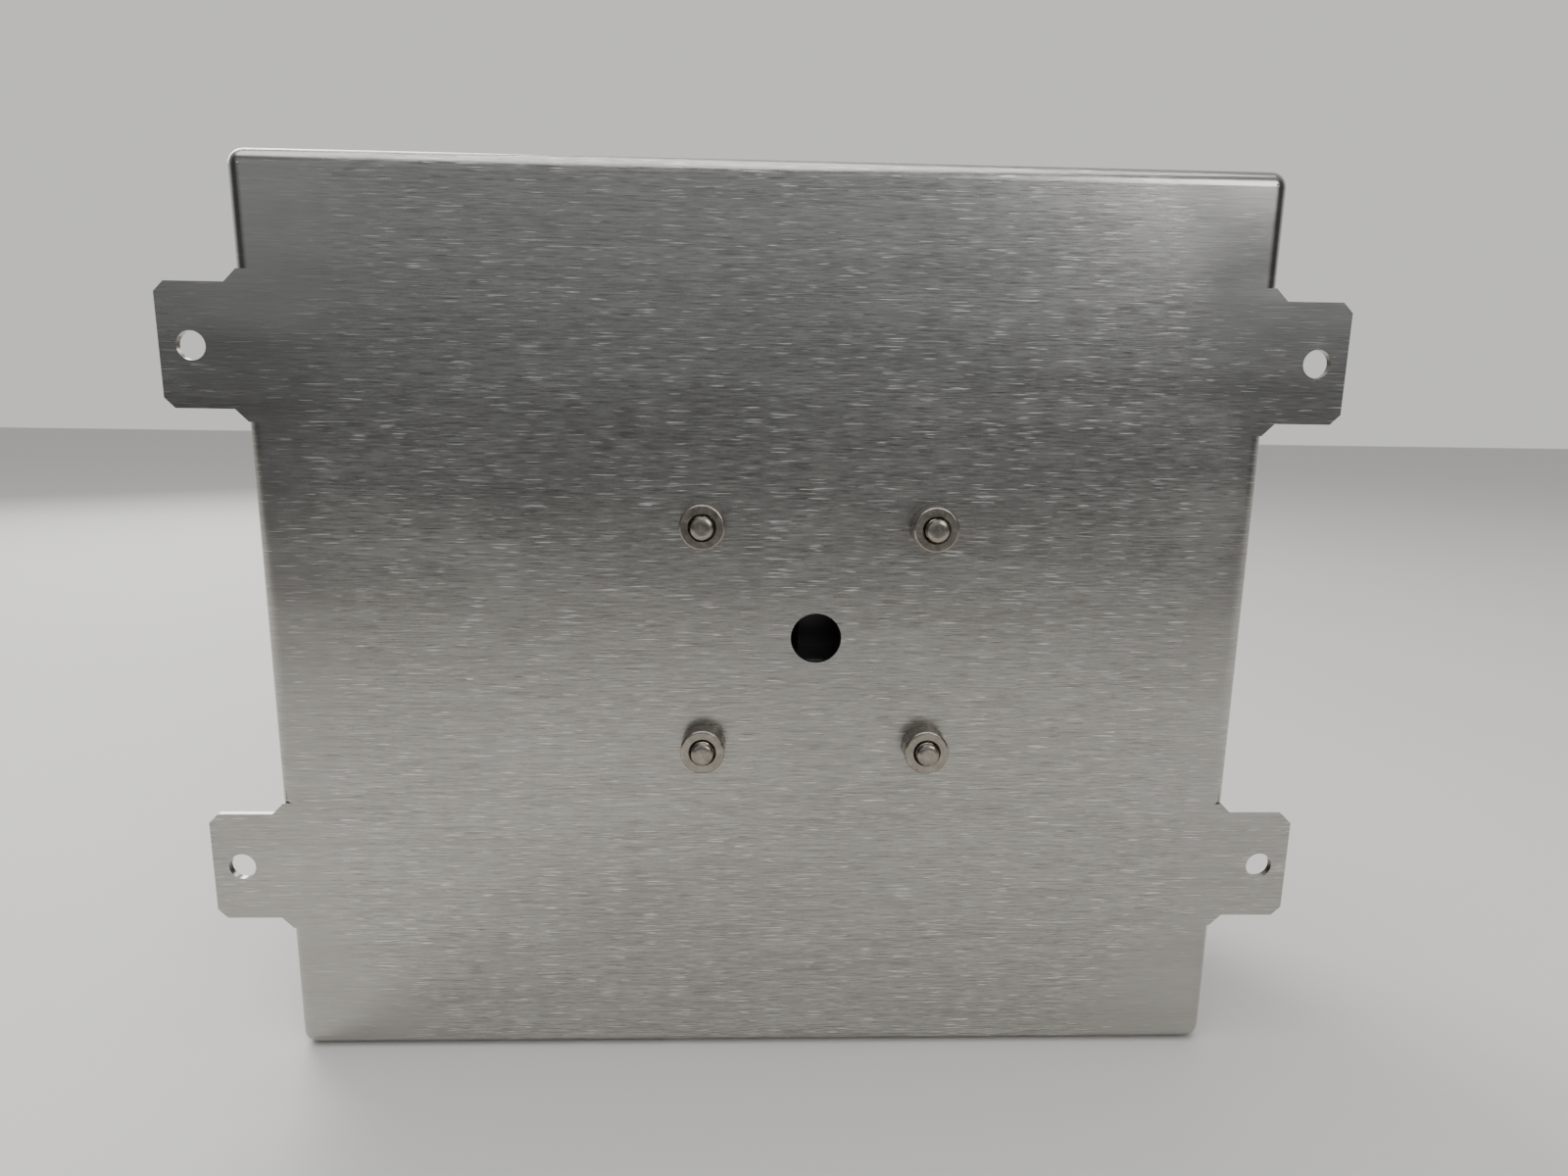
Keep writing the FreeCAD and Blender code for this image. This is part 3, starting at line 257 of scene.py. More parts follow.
# %% Brushed housing steel
def brushed_housing():
    material, graph, place = new_finish("brushed_housing_steel", Metallic=1.0)
    x, y, z = graph.parts(place)
    rise = z - BOX_MID.z
    on_side = graph.ramp(abs(x), BOX_HALF.x - BEND, BOX_HALF.x - 0.2 * MM)
    on_side = on_side * (y < -1.4 * MM)
    on_top = graph.ramp(abs(rise), BOX_HALF.z - BEND, BOX_HALF.z - 0.2 * MM) * (1 - on_side)
    u = x - on_side * x.maths("SIGN") * y
    w = z - on_top * rise.maths("SIGN") * y
    sheet = graph.vector(u, 0.0, w)

    def streaks(length, width, detail=1.0):
        """Noise whose spots are length long and width wide, in metres."""
        spots = graph.vector(u * (1 / length), on_side * 7.0 + on_top * 3.0, w * (1 / width))
        return graph.noise(spots, 1.0, detail, 0.6)

    grain = streaks(4.2 * MM, 0.18 * MM, 2.0)
    long_grain = streaks(16 * MM, 0.40 * MM, 2.0)
    scratches = graph.ramp(streaks(6.0 * MM, 0.23 * MM), 0.64, 0.71)
    dark_scratches = graph.ramp(streaks(5.0 * MM, 0.22 * MM), 0.62, 0.72)
    bands = streaks(60 * MM, 5 * MM)
    clouds = graph.noise(sheet, 26.0, 3.0, 0.55)

    corner_x = (BOX_HALF.x - abs(x)).maths("MAXIMUM", 0.0)
    corner_z = (BOX_HALF.z - abs(rise)).maths("MAXIMUM", 0.0)
    from_corner = (corner_x * corner_x + corner_z * corner_z).maths("SQRT")
    drift = graph.noise(sheet, 30.0, 0.0) - 0.5
    ground = 1 - graph.ramp(from_corner + drift * 30 * MM, 8 * MM, 32 * MM)
    beside_edge = 1 - graph.ramp(corner_x + drift * 12 * MM, 2 * MM, 17 * MM)
    polished = (ground + beside_edge * 0.55).clamped()

    from_ear = (z * z - EAR_RISE ** 2) / (2 * EAR_RISE * 16 * MM)
    from_wall = corner_x / (14 * MM)
    dish = 1 / (1 + from_ear * from_ear + from_wall * from_wall)
    waves = graph.noise(sheet, 55.0, 1.0, 0.4)
    smudges = graph.ramp(graph.noise(sheet, 34.0, 4.0, 0.65), 0.50, 0.72)

    keep = 1 - polished * 0.75
    height = ((grain - 0.5) * 7.0e-6 + (long_grain - 0.5) * 5.0e-6) * keep
    height = height - scratches * keep * 3.0e-6 + dark_scratches * keep * 2.0e-6
    height = height + (waves - 0.5) * polished * 260e-6 + dish * 160e-6 + clouds * 40e-6
    tone = (bands - 0.5) * 0.3 + ((grain - 0.5) * 1.5 + (long_grain - 0.5) * 1.0) * keep + 0.5
    colour = graph.mixed(tone.clamped(), shade((0.25, 0.24, 0.22)), shade((0.58, 0.57, 0.54)))
    bright = graph.mixed(scratches * keep * 0.85, colour, shade((1.0, 0.99, 0.97)))
    dulled = graph.mixed(dark_scratches * keep * 0.6, bright, shade((0.16, 0.155, 0.14)))
    roughness = 0.27 + (grain - 0.5) * 0.25 * keep + scratches * keep * 0.12
    roughness = roughness - polished * 0.07 + smudges * 0.06 + (bands - 0.5) * 0.08
    finish_with(graph, dulled, roughness, height)
    return material


# %% [markdown]
# ## Turned and plated hardware
# Nuts and screws were turned on a lathe, then plated. The lathe leaves fine rings about each one's axis. The
# fasteners of one kind stand in a rectangle, so folding the coordinates about its middle brings the four
# axes to one place, and one ring pattern serves them all. A thin band where each one sits on the sheet is
# painted in shade: darker in colour, and rougher.

# %% Turned hardware
def turned_hardware(name, colour, dark, roughness, centre, pitch, seat_shade_y, seat_shade_depth):
    """Plated metal with lathe rings about axes parallel to Y that stand in a rectangle."""
    material, graph, place = new_finish(name, Metallic=1.0)
    x, y, z = graph.parts(place)
    dx = abs(x - centre.x) - pitch[0] / 2
    dz = abs(z - centre.z) - pitch[1] / 2
    radius = (dx * dx + dz * dz).maths("SQRT")
    rings = graph.noise(graph.vector(radius * 9000.0, y * 4200.0, 0.0), 1.0, 2.0)
    spots = graph.noise(place, 900.0, 3.0, 0.6)
    nicks = graph.ramp(graph.noise(place, 1700.0, 1.0), 0.64, 0.72)
    # Painted shade: a thin band where the fastener sits on the sheet is painted dark brown and made rougher.
    seat_shade = 1 - graph.ramp(abs(y - seat_shade_y) + (spots - 0.5) * seat_shade_depth, 0.0, seat_shade_depth)
    plated_tone = graph.mixed((spots * 1.4 - 0.2).clamped(), shade(dark), shade(colour))
    shaded = graph.mixed(seat_shade * 0.7, plated_tone, shade((0.09, 0.075, 0.055)))
    rough = roughness + (rings - 0.5) * 0.16 + (spots - 0.5) * 0.14 + seat_shade * 0.25
    finish_with(graph, shaded, rough, (rings - 0.5) * 3e-6 - nicks * 8e-6)
    return material


# %% [markdown]
# ## Powder coat
# Powder melts in an oven and keeps a slight orange peel. The coat is thin on sharp edges, where it wears
# first, and dust settles on it in patches. The edge mask comes from the box's own planes: a point is on an
# edge where two of its three distances to them are small.

# %% Powder coat
def powder_coat(name, colour, worn, low, high, peel, depth, rough, wear, radius=None):
    """Paint with an orange peel, worn along the edges of the box from low to high."""
    material, graph, place = new_finish(name, Coat_Roughness=0.25, IOR=1.5)
    x, y, z = graph.parts(place)
    mid = (low + high) / 2
    half = (high - low) / 2
    fine = graph.noise(place, 1 / peel, 2.0, 0.55)
    coarse = graph.noise(place, 0.22 / peel, 2.0, 0.5)
    patches = graph.noise(place, 38.0, 3.0, 0.6)
    specks = graph.ramp(graph.noise(place, 760.0, 2.0), 0.66, 0.72)
    if radius is None:
        side = (half.x - abs(x - mid.x)).maths("MINIMUM", half.z - abs(z - mid.z))
    else:
        dx, dz = x - mid.x, z - mid.z
        side = radius - (dx * dx + dz * dz).maths("SQRT")
    front = y - low.y
    to_edge = abs(side).maths("MAXIMUM", abs(front))
    ragged = (graph.noise(place, 420.0, 4.0, 0.7) - 0.5) * 1.6 * MM
    edge = 1 - graph.ramp(to_edge + ragged, 0.2 * MM, 1.2 * MM)
    dust = graph.ramp(patches, 0.45, 0.75)
    tinted = graph.mixed((patches - 0.5) * 0.5 + 0.5, shade([c * 0.90 for c in colour]), shade(colour))
    dusted = graph.mixed(dust * 0.10 + specks * 0.12, tinted, shade((0.45, 0.42, 0.36)))
    painted = graph.mixed(edge * wear, dusted, shade(worn))
    roughness = rough + (patches - 0.5) * 0.12 + dust * 0.08 + edge * wear * 0.1
    height = (fine - 0.5) * depth + (coarse - 0.5) * depth * 1.6 - edge * wear * 12e-6
    finish_with(graph, painted, roughness, height)
    return material


# %% [markdown]
# ## The button's spun steel
# The cap was spun from stainless sheet and brushed on the lathe, so its marks are circles about its axis.
# Thumbs polish the middle and leave faint smears.

# %% Spun steel
def spun_steel():
    material, graph, place = new_finish("spun_button_steel", Metallic=1.0)
    x, y, z = graph.parts(place)
    dx, dz = x - AXIS.x, z - AXIS.z
    radius = (dx * dx + dz * dz).maths("SQRT")
    turn = dz.maths("ARCTAN2", dx)
    arcs = graph.noise(graph.vector(radius * 4300.0, turn * 1.3, y * 2600.0), 1.0, 3.0, 0.6)
    lines = graph.ramp(graph.noise(graph.vector(radius * 2300.0, turn * 2.2, 4.0), 1.0, 1.0), 0.62, 0.72)
    touched = 1 - graph.ramp(radius, 4 * MM, 22 * MM)
    smears = graph.ramp(graph.noise(place, 120.0, 3.0, 0.7), 0.5, 0.7) * touched
    scuffs = graph.noise(graph.vector(x * 180.0, y * 60.0, z * 1500.0), 1.0, 1.0)
    scuffs = graph.ramp(scuffs, 0.68, 0.74)
    colour = graph.mixed((arcs * 1.2 - 0.1).clamped(), shade((0.52, 0.51, 0.49)), shade((0.76, 0.75, 0.73)))
    colour = graph.mixed(lines * 0.35, colour, shade((0.88, 0.88, 0.86)))
    roughness = 0.26 + (arcs - 0.5) * 0.18 - touched * 0.05 + smears * 0.16 + scuffs * 0.12
    finish_with(graph, colour, roughness, (arcs - 0.5) * 4e-6 - lines * 2e-6 - scuffs * 3e-6)
    return material


# %% [markdown]
# ## Everyday finishes
# The pieces inside need less than the outside, but each still has its own colour, sheen and grain. One
# function covers them: a mottled base, a varied roughness and a fine relief, all in real sizes.

# %% Mottled finishes
def mottled(name, colour, other, rough, spread, grain, depth, stretch=(1, 1, 1), **fixed):
    """A surface between two colours. grain is the relief's spot size and depth its height, in metres."""
    material, graph, place = new_finish(name, **fixed)
    x, y, z = graph.parts(place)
    along = graph.vector(x * stretch[0], y * stretch[1], z * stretch[2])
    fine = graph.noise(along, 1 / grain, 3.0, 0.6)
    broad = graph.noise(place, 0.12 / grain, 2.0, 0.5)
    scuffs = graph.ramp(graph.noise(along, 0.5 / grain, 1.0), 0.66, 0.74)
    tint = graph.mixed((broad * 1.5 - 0.25).clamped(), shade(colour), shade(other))
    roughness = rough + (fine - 0.5) * spread + (broad - 0.5) * spread + scuffs * spread * 0.6
    finish_with(graph, tint, roughness, (fine - 0.5) * depth - scuffs * depth * 0.5)
    return material


# %% [markdown]
# ## The lamp's lens
# The lens is red polycarbonate with fine rings moulded inside it, which spread the light. It is a clear
# coloured plastic, so most of its light passes through.

# %% Lens
def red_lens():
    fixed = {"Transmission_Weight": 0.55, "IOR": 1.585, "Coat_Weight": 0.3, "Coat_Roughness": 0.03}
    material, graph, place = new_finish("lamp_lens_red", **fixed)
    x, y, z = graph.parts(place)
    dx, dz = x - LAMP.x, z - LAMP.z
    radius = (dx * dx + dz * dz).maths("SQRT")
    rings = (radius * (2 * math.pi / (1.1 * MM))).maths("SINE")
    dust = graph.ramp(graph.noise(place, 260.0, 3.0, 0.6), 0.5, 0.75)
    # Painted light and shade: the red is painted brighter in the middle of the lens and darker towards its
    # rim.
    to_rim = graph.ramp(radius, 0.0, 11 * MM)
    rim_shaded_red = graph.mixed(to_rim, shade((0.80, 0.035, 0.015)), shade((0.42, 0.008, 0.006)))
    colour = graph.mixed(dust * 0.06, rim_shaded_red, shade((0.55, 0.40, 0.35)))
    finish_with(graph, colour, 0.07 + dust * 0.12, rings * 9e-6)
    return material


# %% [markdown]
# ## One finish for each material slot
# The record names a slot for every node. The finishes are made once and given to the nodes by slot, so a
# node that is added later gets the right look by itself.

# %% Making the finishes
NUT_WIDTH = 7.9 * MM
COVER_HEAD_R = 3.8 * MM
BEZEL_COLLAR_R = 34.2 * MM
COLLAR_ROUNDING = 2.4 * MM
stud_mid = middle("clinch_nuts")
stud_pitch = span("clinch_nuts").x - NUT_WIDTH
corner_mid = middle("cover_screws")
corner_pitch = (span("cover_screws").x - 2 * COVER_HEAD_R, span("cover_screws").z - 2 * COVER_HEAD_R)
ring_low, ring_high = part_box("bezel")
ring_low.y = ring_low.y + COLLAR_ROUNDING

FINISHES = {
    "housing_steel": brushed_housing(),
    "bright_hardware": turned_hardware(
        "plated_hardware", (0.47, 0.43, 0.38), (0.21, 0.185, 0.155), 0.26, stud_mid, (stud_pitch, stud_pitch),
        0.0, 0.8 * MM,
    ),
    "stainless_screws": turned_hardware(
        "stainless_screws", (0.70, 0.69, 0.67), (0.52, 0.51, 0.49), 0.26, corner_mid, corner_pitch,
        cover_low.y, 0.35 * MM,
    ),
    "cover_paint": powder_coat(
        "traffic_yellow_powder", (0.86, 0.50, 0.012), (0.42, 0.40, 0.36), cover_low, cover_high,
        0.9 * MM, 7e-6, 0.30, 0.45,
    ),
    "bezel_paint": powder_coat(
        "black_textured_powder", (0.022, 0.022, 0.024), (0.16, 0.16, 0.16), ring_low, ring_high,
        0.35 * MM, 11e-6, 0.42, 0.5, BEZEL_COLLAR_R,
    ),
    "button_steel": spun_steel(),
    "black_rubber": mottled(
        "seal_rubber", (0.018, 0.018, 0.018), (0.04, 0.04, 0.038), 0.62, 0.2, 0.4 * MM, 8e-6
    ),
    "black_nylon": mottled(
        "glass_filled_nylon", (0.02, 0.02, 0.021), (0.045, 0.045, 0.047), 0.48, 0.2, 0.3 * MM, 6e-6
    ),
    "white_nylon": mottled(
        "natural_nylon", (0.80, 0.78, 0.70), (0.70, 0.67, 0.58), 0.38, 0.15, 0.5 * MM, 3e-6,
        Subsurface_Weight=0.1,
    ),
    "switch_plastic": mottled(
        "phenolic_switch_case", (0.05, 0.035, 0.03), (0.03, 0.022, 0.02), 0.32, 0.14, 0.25 * MM, 3e-6
    ),
    "bearing_bronze": mottled(
        "sintered_bronze", (0.52, 0.33, 0.16), (0.36, 0.22, 0.10), 0.40, 0.2, 0.18 * MM, 7e-6, Metallic=1.0
    ),
    "contact_brass": mottled(
        "tinned_brass", (0.76, 0.64, 0.38), (0.62, 0.52, 0.32), 0.30, 0.16, 0.3 * MM, 3e-6, Metallic=1.0
    ),
    "spring_steel": mottled(
        "drawn_spring_steel", (0.42, 0.42, 0.43), (0.28, 0.28, 0.30), 0.32, 0.18, 0.25 * MM, 3e-6,
        Metallic=1.0,
    ),
    "zinc_steel": mottled(
        "zinc_plated_steel", (0.62, 0.64, 0.66), (0.46, 0.48, 0.50), 0.34, 0.2, 0.4 * MM, 3e-6, Metallic=1.0
    ),
    "guide_casting": mottled(
        "die_cast_alloy", (0.50, 0.51, 0.52), (0.38, 0.39, 0.40), 0.46, 0.2, 0.6 * MM, 14e-6, Metallic=1.0
    ),
    "lamp_chrome": mottled(
        "bright_plating", (0.80, 0.80, 0.80), (0.70, 0.70, 0.71), 0.10, 0.08, 0.8 * MM, 1e-6, Metallic=1.0
    ),
    "lamp_lens": red_lens(),
    "board_green": mottled(
        "circuit_board", (0.02, 0.16, 0.06), (0.015, 0.10, 0.045), 0.30, 0.12, 0.3 * MM, 4e-6
    ),
    "led_clear": mottled(
        "clear_epoxy", (0.86, 0.86, 0.83), (0.80, 0.80, 0.78), 0.12, 0.06, 0.6 * MM, 1e-6, IOR=1.54
    ),
    "plate_black": mottled(
        "black_anodised_plate", (0.022, 0.022, 0.025), (0.04, 0.04, 0.045), 0.34, 0.16, 0.3 * MM, 3e-6,
        (0.08, 1, 1),
    ),
    "arrow_white": mottled(
        "white_enamel", (0.86, 0.86, 0.84), (0.78, 0.77, 0.73), 0.30, 0.12, 0.6 * MM, 3e-6
    ),
    "lead_red": mottled(
        "red_wire_sleeve", (0.48, 0.02, 0.015), (0.40, 0.02, 0.015), 0.40, 0.12, 0.5 * MM, 3e-6
    ),
    "lead_black": mottled(
        "black_wire_sleeve", (0.02, 0.02, 0.02), (0.04, 0.04, 0.04), 0.40, 0.12, 0.5 * MM, 3e-6
    ),
    "block_grey": mottled(
        "terminal_block_plastic", (0.52, 0.54, 0.55), (0.46, 0.48, 0.49), 0.42, 0.14, 0.4 * MM, 5e-6
    ),
}
print(f"{len(FINISHES)} finishes")

# %% [markdown]
# ## Handing the finishes out
# A CAD node keeps its mesh and its slots. Only the material in each slot changes, so the exact shapes stay
# as they came and the finish follows the record.

# %% Giving the nodes their finishes
SLOT_OF = {row["node"]: row["material_slot"] for row in frame["record"]["subparts"]}
for name, node in frame["nodes"].items():
    for place in node.material_slots:
        place.material = FINISHES[SLOT_OF[name]]
print(f"{len(SLOT_OF)} nodes have a finish")

# %% [markdown]
# ## Growing pieces with Geometry Nodes
# Springs and threads follow a rule, so a node group grows them from named sizes. The group runs once on a
# holder. Its result becomes a plain mesh, and the holder is thrown away, so no live modifier is left.

# %% Running a node group
def new_group(name, sockets):
    """A Geometry Nodes tree with a geometry output, and the wires of its named inputs."""
    tree = bpy.data.node_groups.new(name, "GeometryNodeTree")
    tree.interface.new_socket("Geometry", in_out="OUTPUT", socket_type="NodeSocketGeometry")
    for label, kind in sockets.items():
        tree.interface.new_socket(label, in_out="INPUT", socket_type="NodeSocket" + kind)
    graph = Graph(tree)
    return tree, graph, graph.add("NodeGroupInput")


def end_group(graph, geometry, finish):
    """Realizes what was grown, gives it its material and ends the group."""
    real = graph.add("GeometryNodeRealizeInstances", inputs={0: geometry})[0]
    painted = graph.add("GeometryNodeSetMaterial", inputs={0: real, "Material": finish})[0]
    graph.add("NodeGroupOutput", inputs={0: painted})


def grown(name, tree, values, start=None):
    """Runs a group with these values and returns the piece it makes."""
    holder = bpy.data.objects.new("holder", start or bpy.data.meshes.new("empty_start"))
    bpy.context.scene.collection.objects.link(holder)
    modifier = holder.modifiers.new("grow", "NODES")
    modifier.node_group = tree
    for item in tree.interface.items_tree:
        if item.in_out == "INPUT" and item.name in values:
            modifier[item.identifier] = values[item.name]
    ready = holder.evaluated_get(bpy.context.evaluated_depsgraph_get())
    mesh = bpy.data.meshes.new_from_object(ready)
    bpy.data.objects.remove(holder)
    mesh.shade_smooth()
    mesh.set_sharp_from_angle(angle=math.radians(32))
    piece = bpy.data.objects.new(name, mesh)
    bpy.context.scene.collection.objects.link(piece)
    print(f"{name}: {len(mesh.vertices)} points, {len(mesh.polygons)} faces")
    return piece


print("Node groups can be grown")

# %% [markdown]
# ## The return spring
# A compression spring is wound on a mandrel, and its first and last turns are closed so that it stands
# square. The group bends a line into a helix. Its rise is one wire per turn at both ends and the full pitch
# between. On the real station a pressed button shortens the coil towards its fixed end, deeper in the
# station; here the coil is grown at rest and rides with the housing.

# %% Return spring
WIRE_R = 0.8 * MM
CLOSED_PITCH = 2.03  # in wire radii: a closed turn all but touches the next


def spring_group():
    sockets = {
        "Wire radius": "Float", "Mean radius": "Float", "Turns": "Float", "First": "Float", "Last": "Float",
        "Middle": "Vector", "Steps": "Int", "Finish": "Material",
    }
    tree, graph, given = new_group("coil_spring", sockets)
    line = graph.add("GeometryNodeCurvePrimitiveLine", inputs={"End": (1.0, 0.0, 0.0)})[0]
    inputs = {"Curve": line, "Count": given["Steps"] + 1}
    path = graph.add("GeometryNodeResampleCurve", {"mode": "COUNT"}, inputs)[0]
    turn = graph.add("GeometryNodeInputIndex")[0] * (given["Turns"] / given["Steps"])
    closed = given["Wire radius"] * CLOSED_PITCH
    pitch = (given["Last"] - given["First"] - closed * 2) / (given["Turns"] - 2)
    at_ends = turn.maths("MINIMUM", 1.0) + (turn - (given["Turns"] - 1)).maths("MAXIMUM", 0.0)
    between = (turn - 1).maths("MAXIMUM", 0.0).maths("MINIMUM", given["Turns"] - 2)
    rise = given["First"] + closed * at_ends + pitch * between
    angle = turn * (2 * math.pi)
    mid_x, _, mid_z = graph.parts(given["Middle"])
    x = mid_x + given["Mean radius"] * angle.maths("COSINE")
    z = mid_z - given["Mean radius"] * angle.maths("SINE")
    helix = graph.add("GeometryNodeSetPosition", inputs={0: path, "Position": graph.vector(x, rise, z)})[0]
    inputs = {"Resolution": 14, "Radius": given["Wire radius"]}
    section = graph.add("GeometryNodeCurvePrimitiveCircle", inputs=inputs)[0]
    inputs = {"Curve": helix, "Profile Curve": section, "Fill Caps": True}
    end_group(graph, graph.add("GeometryNodeCurveToMesh", inputs=inputs)[0], given["Finish"])
    return tree


spring_low, spring_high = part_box("return_spring")
coil = grown(
    "return_spring_coil",
    spring_group(),
    {
        "Wire radius": WIRE_R, "Mean radius": (spring_high.x - spring_low.x) / 2 - WIRE_R, "Turns": 4.5,
        "First": spring_low.y + WIRE_R, "Last": spring_high.y - WIRE_R,
        "Middle": middle("return_spring"), "Steps": 216, "Finish": FINISHES["spring_steel"],
    },
)
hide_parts("return_spring")
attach(coil, "housing")
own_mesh(coil)

# %% [markdown]
# ## Screws
# A screw starts as a blank with a plain shank and a headed end. Spin could turn its outline, but the rows
# along the shank have to be fine enough for the thread that comes later, so the outline is worked out here
# and each of its points becomes one ring of the mesh. Pan heads have a rounded rim, and tamper-proof heads
# are domed.

# %% Turned blanks
ROWS_PER_PITCH = 8


def lathed(name, profile, columns=48):
    """A closed mesh turned about Y from points (radius, y), from one end of the axis to the other."""
    form = bmesh.new()
    rings = []
    for radius, y in profile:
        angles = [2 * math.pi * k / columns for k in range(columns)] if radius > 0 else [0.0]
        rings.append([form.verts.new((radius * math.cos(a), y, radius * math.sin(a))) for a in angles])
    for first, second in zip(rings, rings[1:]):
        for k in range(columns):
            after = k + 1
            corners = [first[k % len(first)], first[after % len(first)]]
            corners += [second[after % len(second)], second[k % len(second)]]
            form.faces.new(list(dict.fromkeys(corners)))
    bmesh.ops.recalc_face_normals(form, faces=form.faces)
    mesh = bpy.data.meshes.new(name)
    form.to_mesh(mesh)
    form.free()
    return mesh


def screw_blank(name, head_r, head_h, major_r, length, pitch, domed):
    """A screw without its thread. Its head is seated at y = 0 and its end is at y = length."""
    rim = 0.25 * MM
    rounding = 0.45 * head_h
    chamfer = 0.1 * MM
    tip = 0.55 * MM
    steps = 10
    profile = [(0.0, -head_h)]
    for k in range(1, steps + 1):
        across, down = math.sin(k / steps * math.pi / 2), math.cos(k / steps * math.pi / 2)
        if domed:
            profile.append((head_r * across, -rim - (head_h - rim) * down))
        else:
            profile.append((head_r - rounding * (1 - across), -head_h + rounding * (1 - down)))
    profile += [(head_r, -chamfer), (head_r - chamfer, 0.0), (major_r, 0.0)]
    rows = int((length - tip) / pitch * ROWS_PER_PITCH)
    profile += [(major_r, (length - tip) * k / rows) for k in range(1, rows + 1)]
    profile += [(major_r - 0.16 * MM, length - 0.24 * MM), (major_r - 0.5 * MM, length - 0.04 * MM)]
    profile += [(major_r - 0.9 * MM, length), (0.0, length)]
    return lathed(name, profile)


print("Blanks are ready")

# %% [markdown]
# ## Pressed recesses
# A punch presses the drive into the head. Here the punch is a prism, and a Boolean takes it out of the
# blank. The cut leaves a few points almost on top of each other, so they are merged, and faces with many
# corners are split into triangles. The tamper-proof punch has a hole of its own, which leaves a pin standing
# in the middle of the socket.

# %% Punches
SPECK = 2e-6  # points closer than this are one point
PUNCH_SPARE = 0.5 * MM


def carved(mesh, tool_mesh):
    """The mesh with the tool's shape taken out of it."""
    body = bpy.data.objects.new("blank", mesh)
    tool = bpy.data.objects.new("punch", tool_mesh)
    for thing in (body, tool):
        bpy.context.scene.collection.objects.link(thing)
    cut = body.modifiers.new("press", "BOOLEAN")
    cut.operation, cut.solver, cut.object = "DIFFERENCE", "EXACT", tool
    result = bpy.data.meshes.new_from_object(body.evaluated_get(bpy.context.evaluated_depsgraph_get()))
    for thing in (body, tool):
        bpy.data.objects.remove(thing)
    form = bmesh.new()
    form.from_mesh(result)
    bmesh.ops.remove_doubles(form, verts=form.verts, dist=SPECK)
    bmesh.ops.dissolve_degenerate(form, edges=form.edges, dist=SPECK)
    bmesh.ops.triangulate(form, faces=[face for face in form.faces if len(face.verts) > 4])
    form.to_mesh(result)
    form.free()
    return result


def prism_mesh(outline, y0, y1):
    """A closed prism along Y with an outline of points (x, z)."""
    form = bmesh.new()
    bottom = form.faces.new([form.verts.new((x, y0, z)) for x, z in outline])
    pushed = bmesh.ops.extrude_face_region(form, geom=[bottom])["geom"]
    moved = [v for v in pushed if isinstance(v, bmesh.types.BMVert)]
    bmesh.ops.translate(form, verts=moved, vec=(0, y1 - y0, 0))
    bmesh.ops.recalc_face_normals(form, faces=form.faces)
    mesh = bpy.data.meshes.new("punch")
    form.to_mesh(mesh)
    form.free()
    return mesh


def cross_punch(head_h, reach, thick, depth):
    """A cross-shaped punch."""
    half = thick / 2
    corner = [(reach, -half), (reach, half), (half, half), (half, reach), (-half, reach), (-half, half)]
    outline = corner + [(-x, -z) for x, z in corner]
    return prism_mesh(outline, -head_h - PUNCH_SPARE, -head_h + depth)


def socket_punch(head_h, across, pin_r, depth):
    """A six-sided punch with a hole that leaves the tamper-proof pin standing."""
    far = across / math.sqrt(3)
    outline = [(far * math.cos(math.pi * k / 3), far * math.sin(math.pi * k / 3)) for k in range(6)]
    punch = prism_mesh(outline, -head_h - PUNCH_SPARE, -head_h + depth)
    pin_top = 0.2 * MM - head_h
    pin = [(0.0, pin_top), (pin_r, pin_top), (pin_r, 0.0), (0.0, 0.0)]
    return carved(punch, lathed("pin", pin, 24))


print("Punches are ready")

# %% [markdown]
# ## Threads
# A rolled thread is a groove that moves along by one pitch in each turn. For a point of the shank, its place
# along the screw in pitches plus its angle in turns is the same all along one groove. The fraction of that
# sum says how deep the point lies, and the plus sign makes the thread right-handed. The node group pulls the
# points in, lets the thread run out over one pitch at both ends of the shank, and sets the screw at the four
# corners of a rectangle.

# %% Cutting the threads
def thread_group():
    sockets = {
        "Blank": "Geometry", "Major radius": "Float", "Pitch": "Float", "Depth": "Float", "Start": "Float",
        "End": "Float", "Middle": "Vector", "Across": "Float", "Up": "Float", "Finish": "Material",
    }
    tree, graph, given = new_group("rolled_thread", sockets)
    place = graph.add("GeometryNodeInputPosition")[0]
    x, y, z = graph.parts(place)
    major, pitch = given["Major radius"], given["Pitch"]
    radius = (x * x + z * z).maths("SQRT")
    phase = (y / pitch + z.maths("ARCTAN2", x) / (2 * math.pi)).maths("FRACT")
    groove = (1 - abs(phase * 2 - 1) * 1.5).clamped()
    on_shank = (radius < major * 1.001) * (radius > major * 0.8)
    runs = graph.ramp(y, given["Start"], given["Start"] + pitch)
    runs = runs * (1 - graph.ramp(y, given["End"] - pitch, given["End"]))
    shrink = 1 - groove * on_shank * runs * given["Depth"] / major
    inputs = {0: given["Blank"], "Position": graph.vector(x * shrink, y, z * shrink)}
    cut = graph.add("GeometryNodeSetPosition", inputs=inputs)[0]
    inputs = {"Size X": given["Across"], "Size Y": given["Up"], "Vertices X": 2, "Vertices Y": 2}
    corners = graph.add("GeometryNodeMeshGrid", inputs=inputs)[0]
    inputs = {0: corners, "Translation": given["Middle"], "Rotation": (math.pi / 2, 0.0, 0.0)}
    stood = graph.add("GeometryNodeTransform", inputs=inputs)[0]
    inputs = {"Points": stood, "Instance": cut}
    end_group(graph, graph.add("GeometryNodeInstanceOnPoints", inputs=inputs)[0], given["Finish"])
    return tree


THREAD = thread_group()


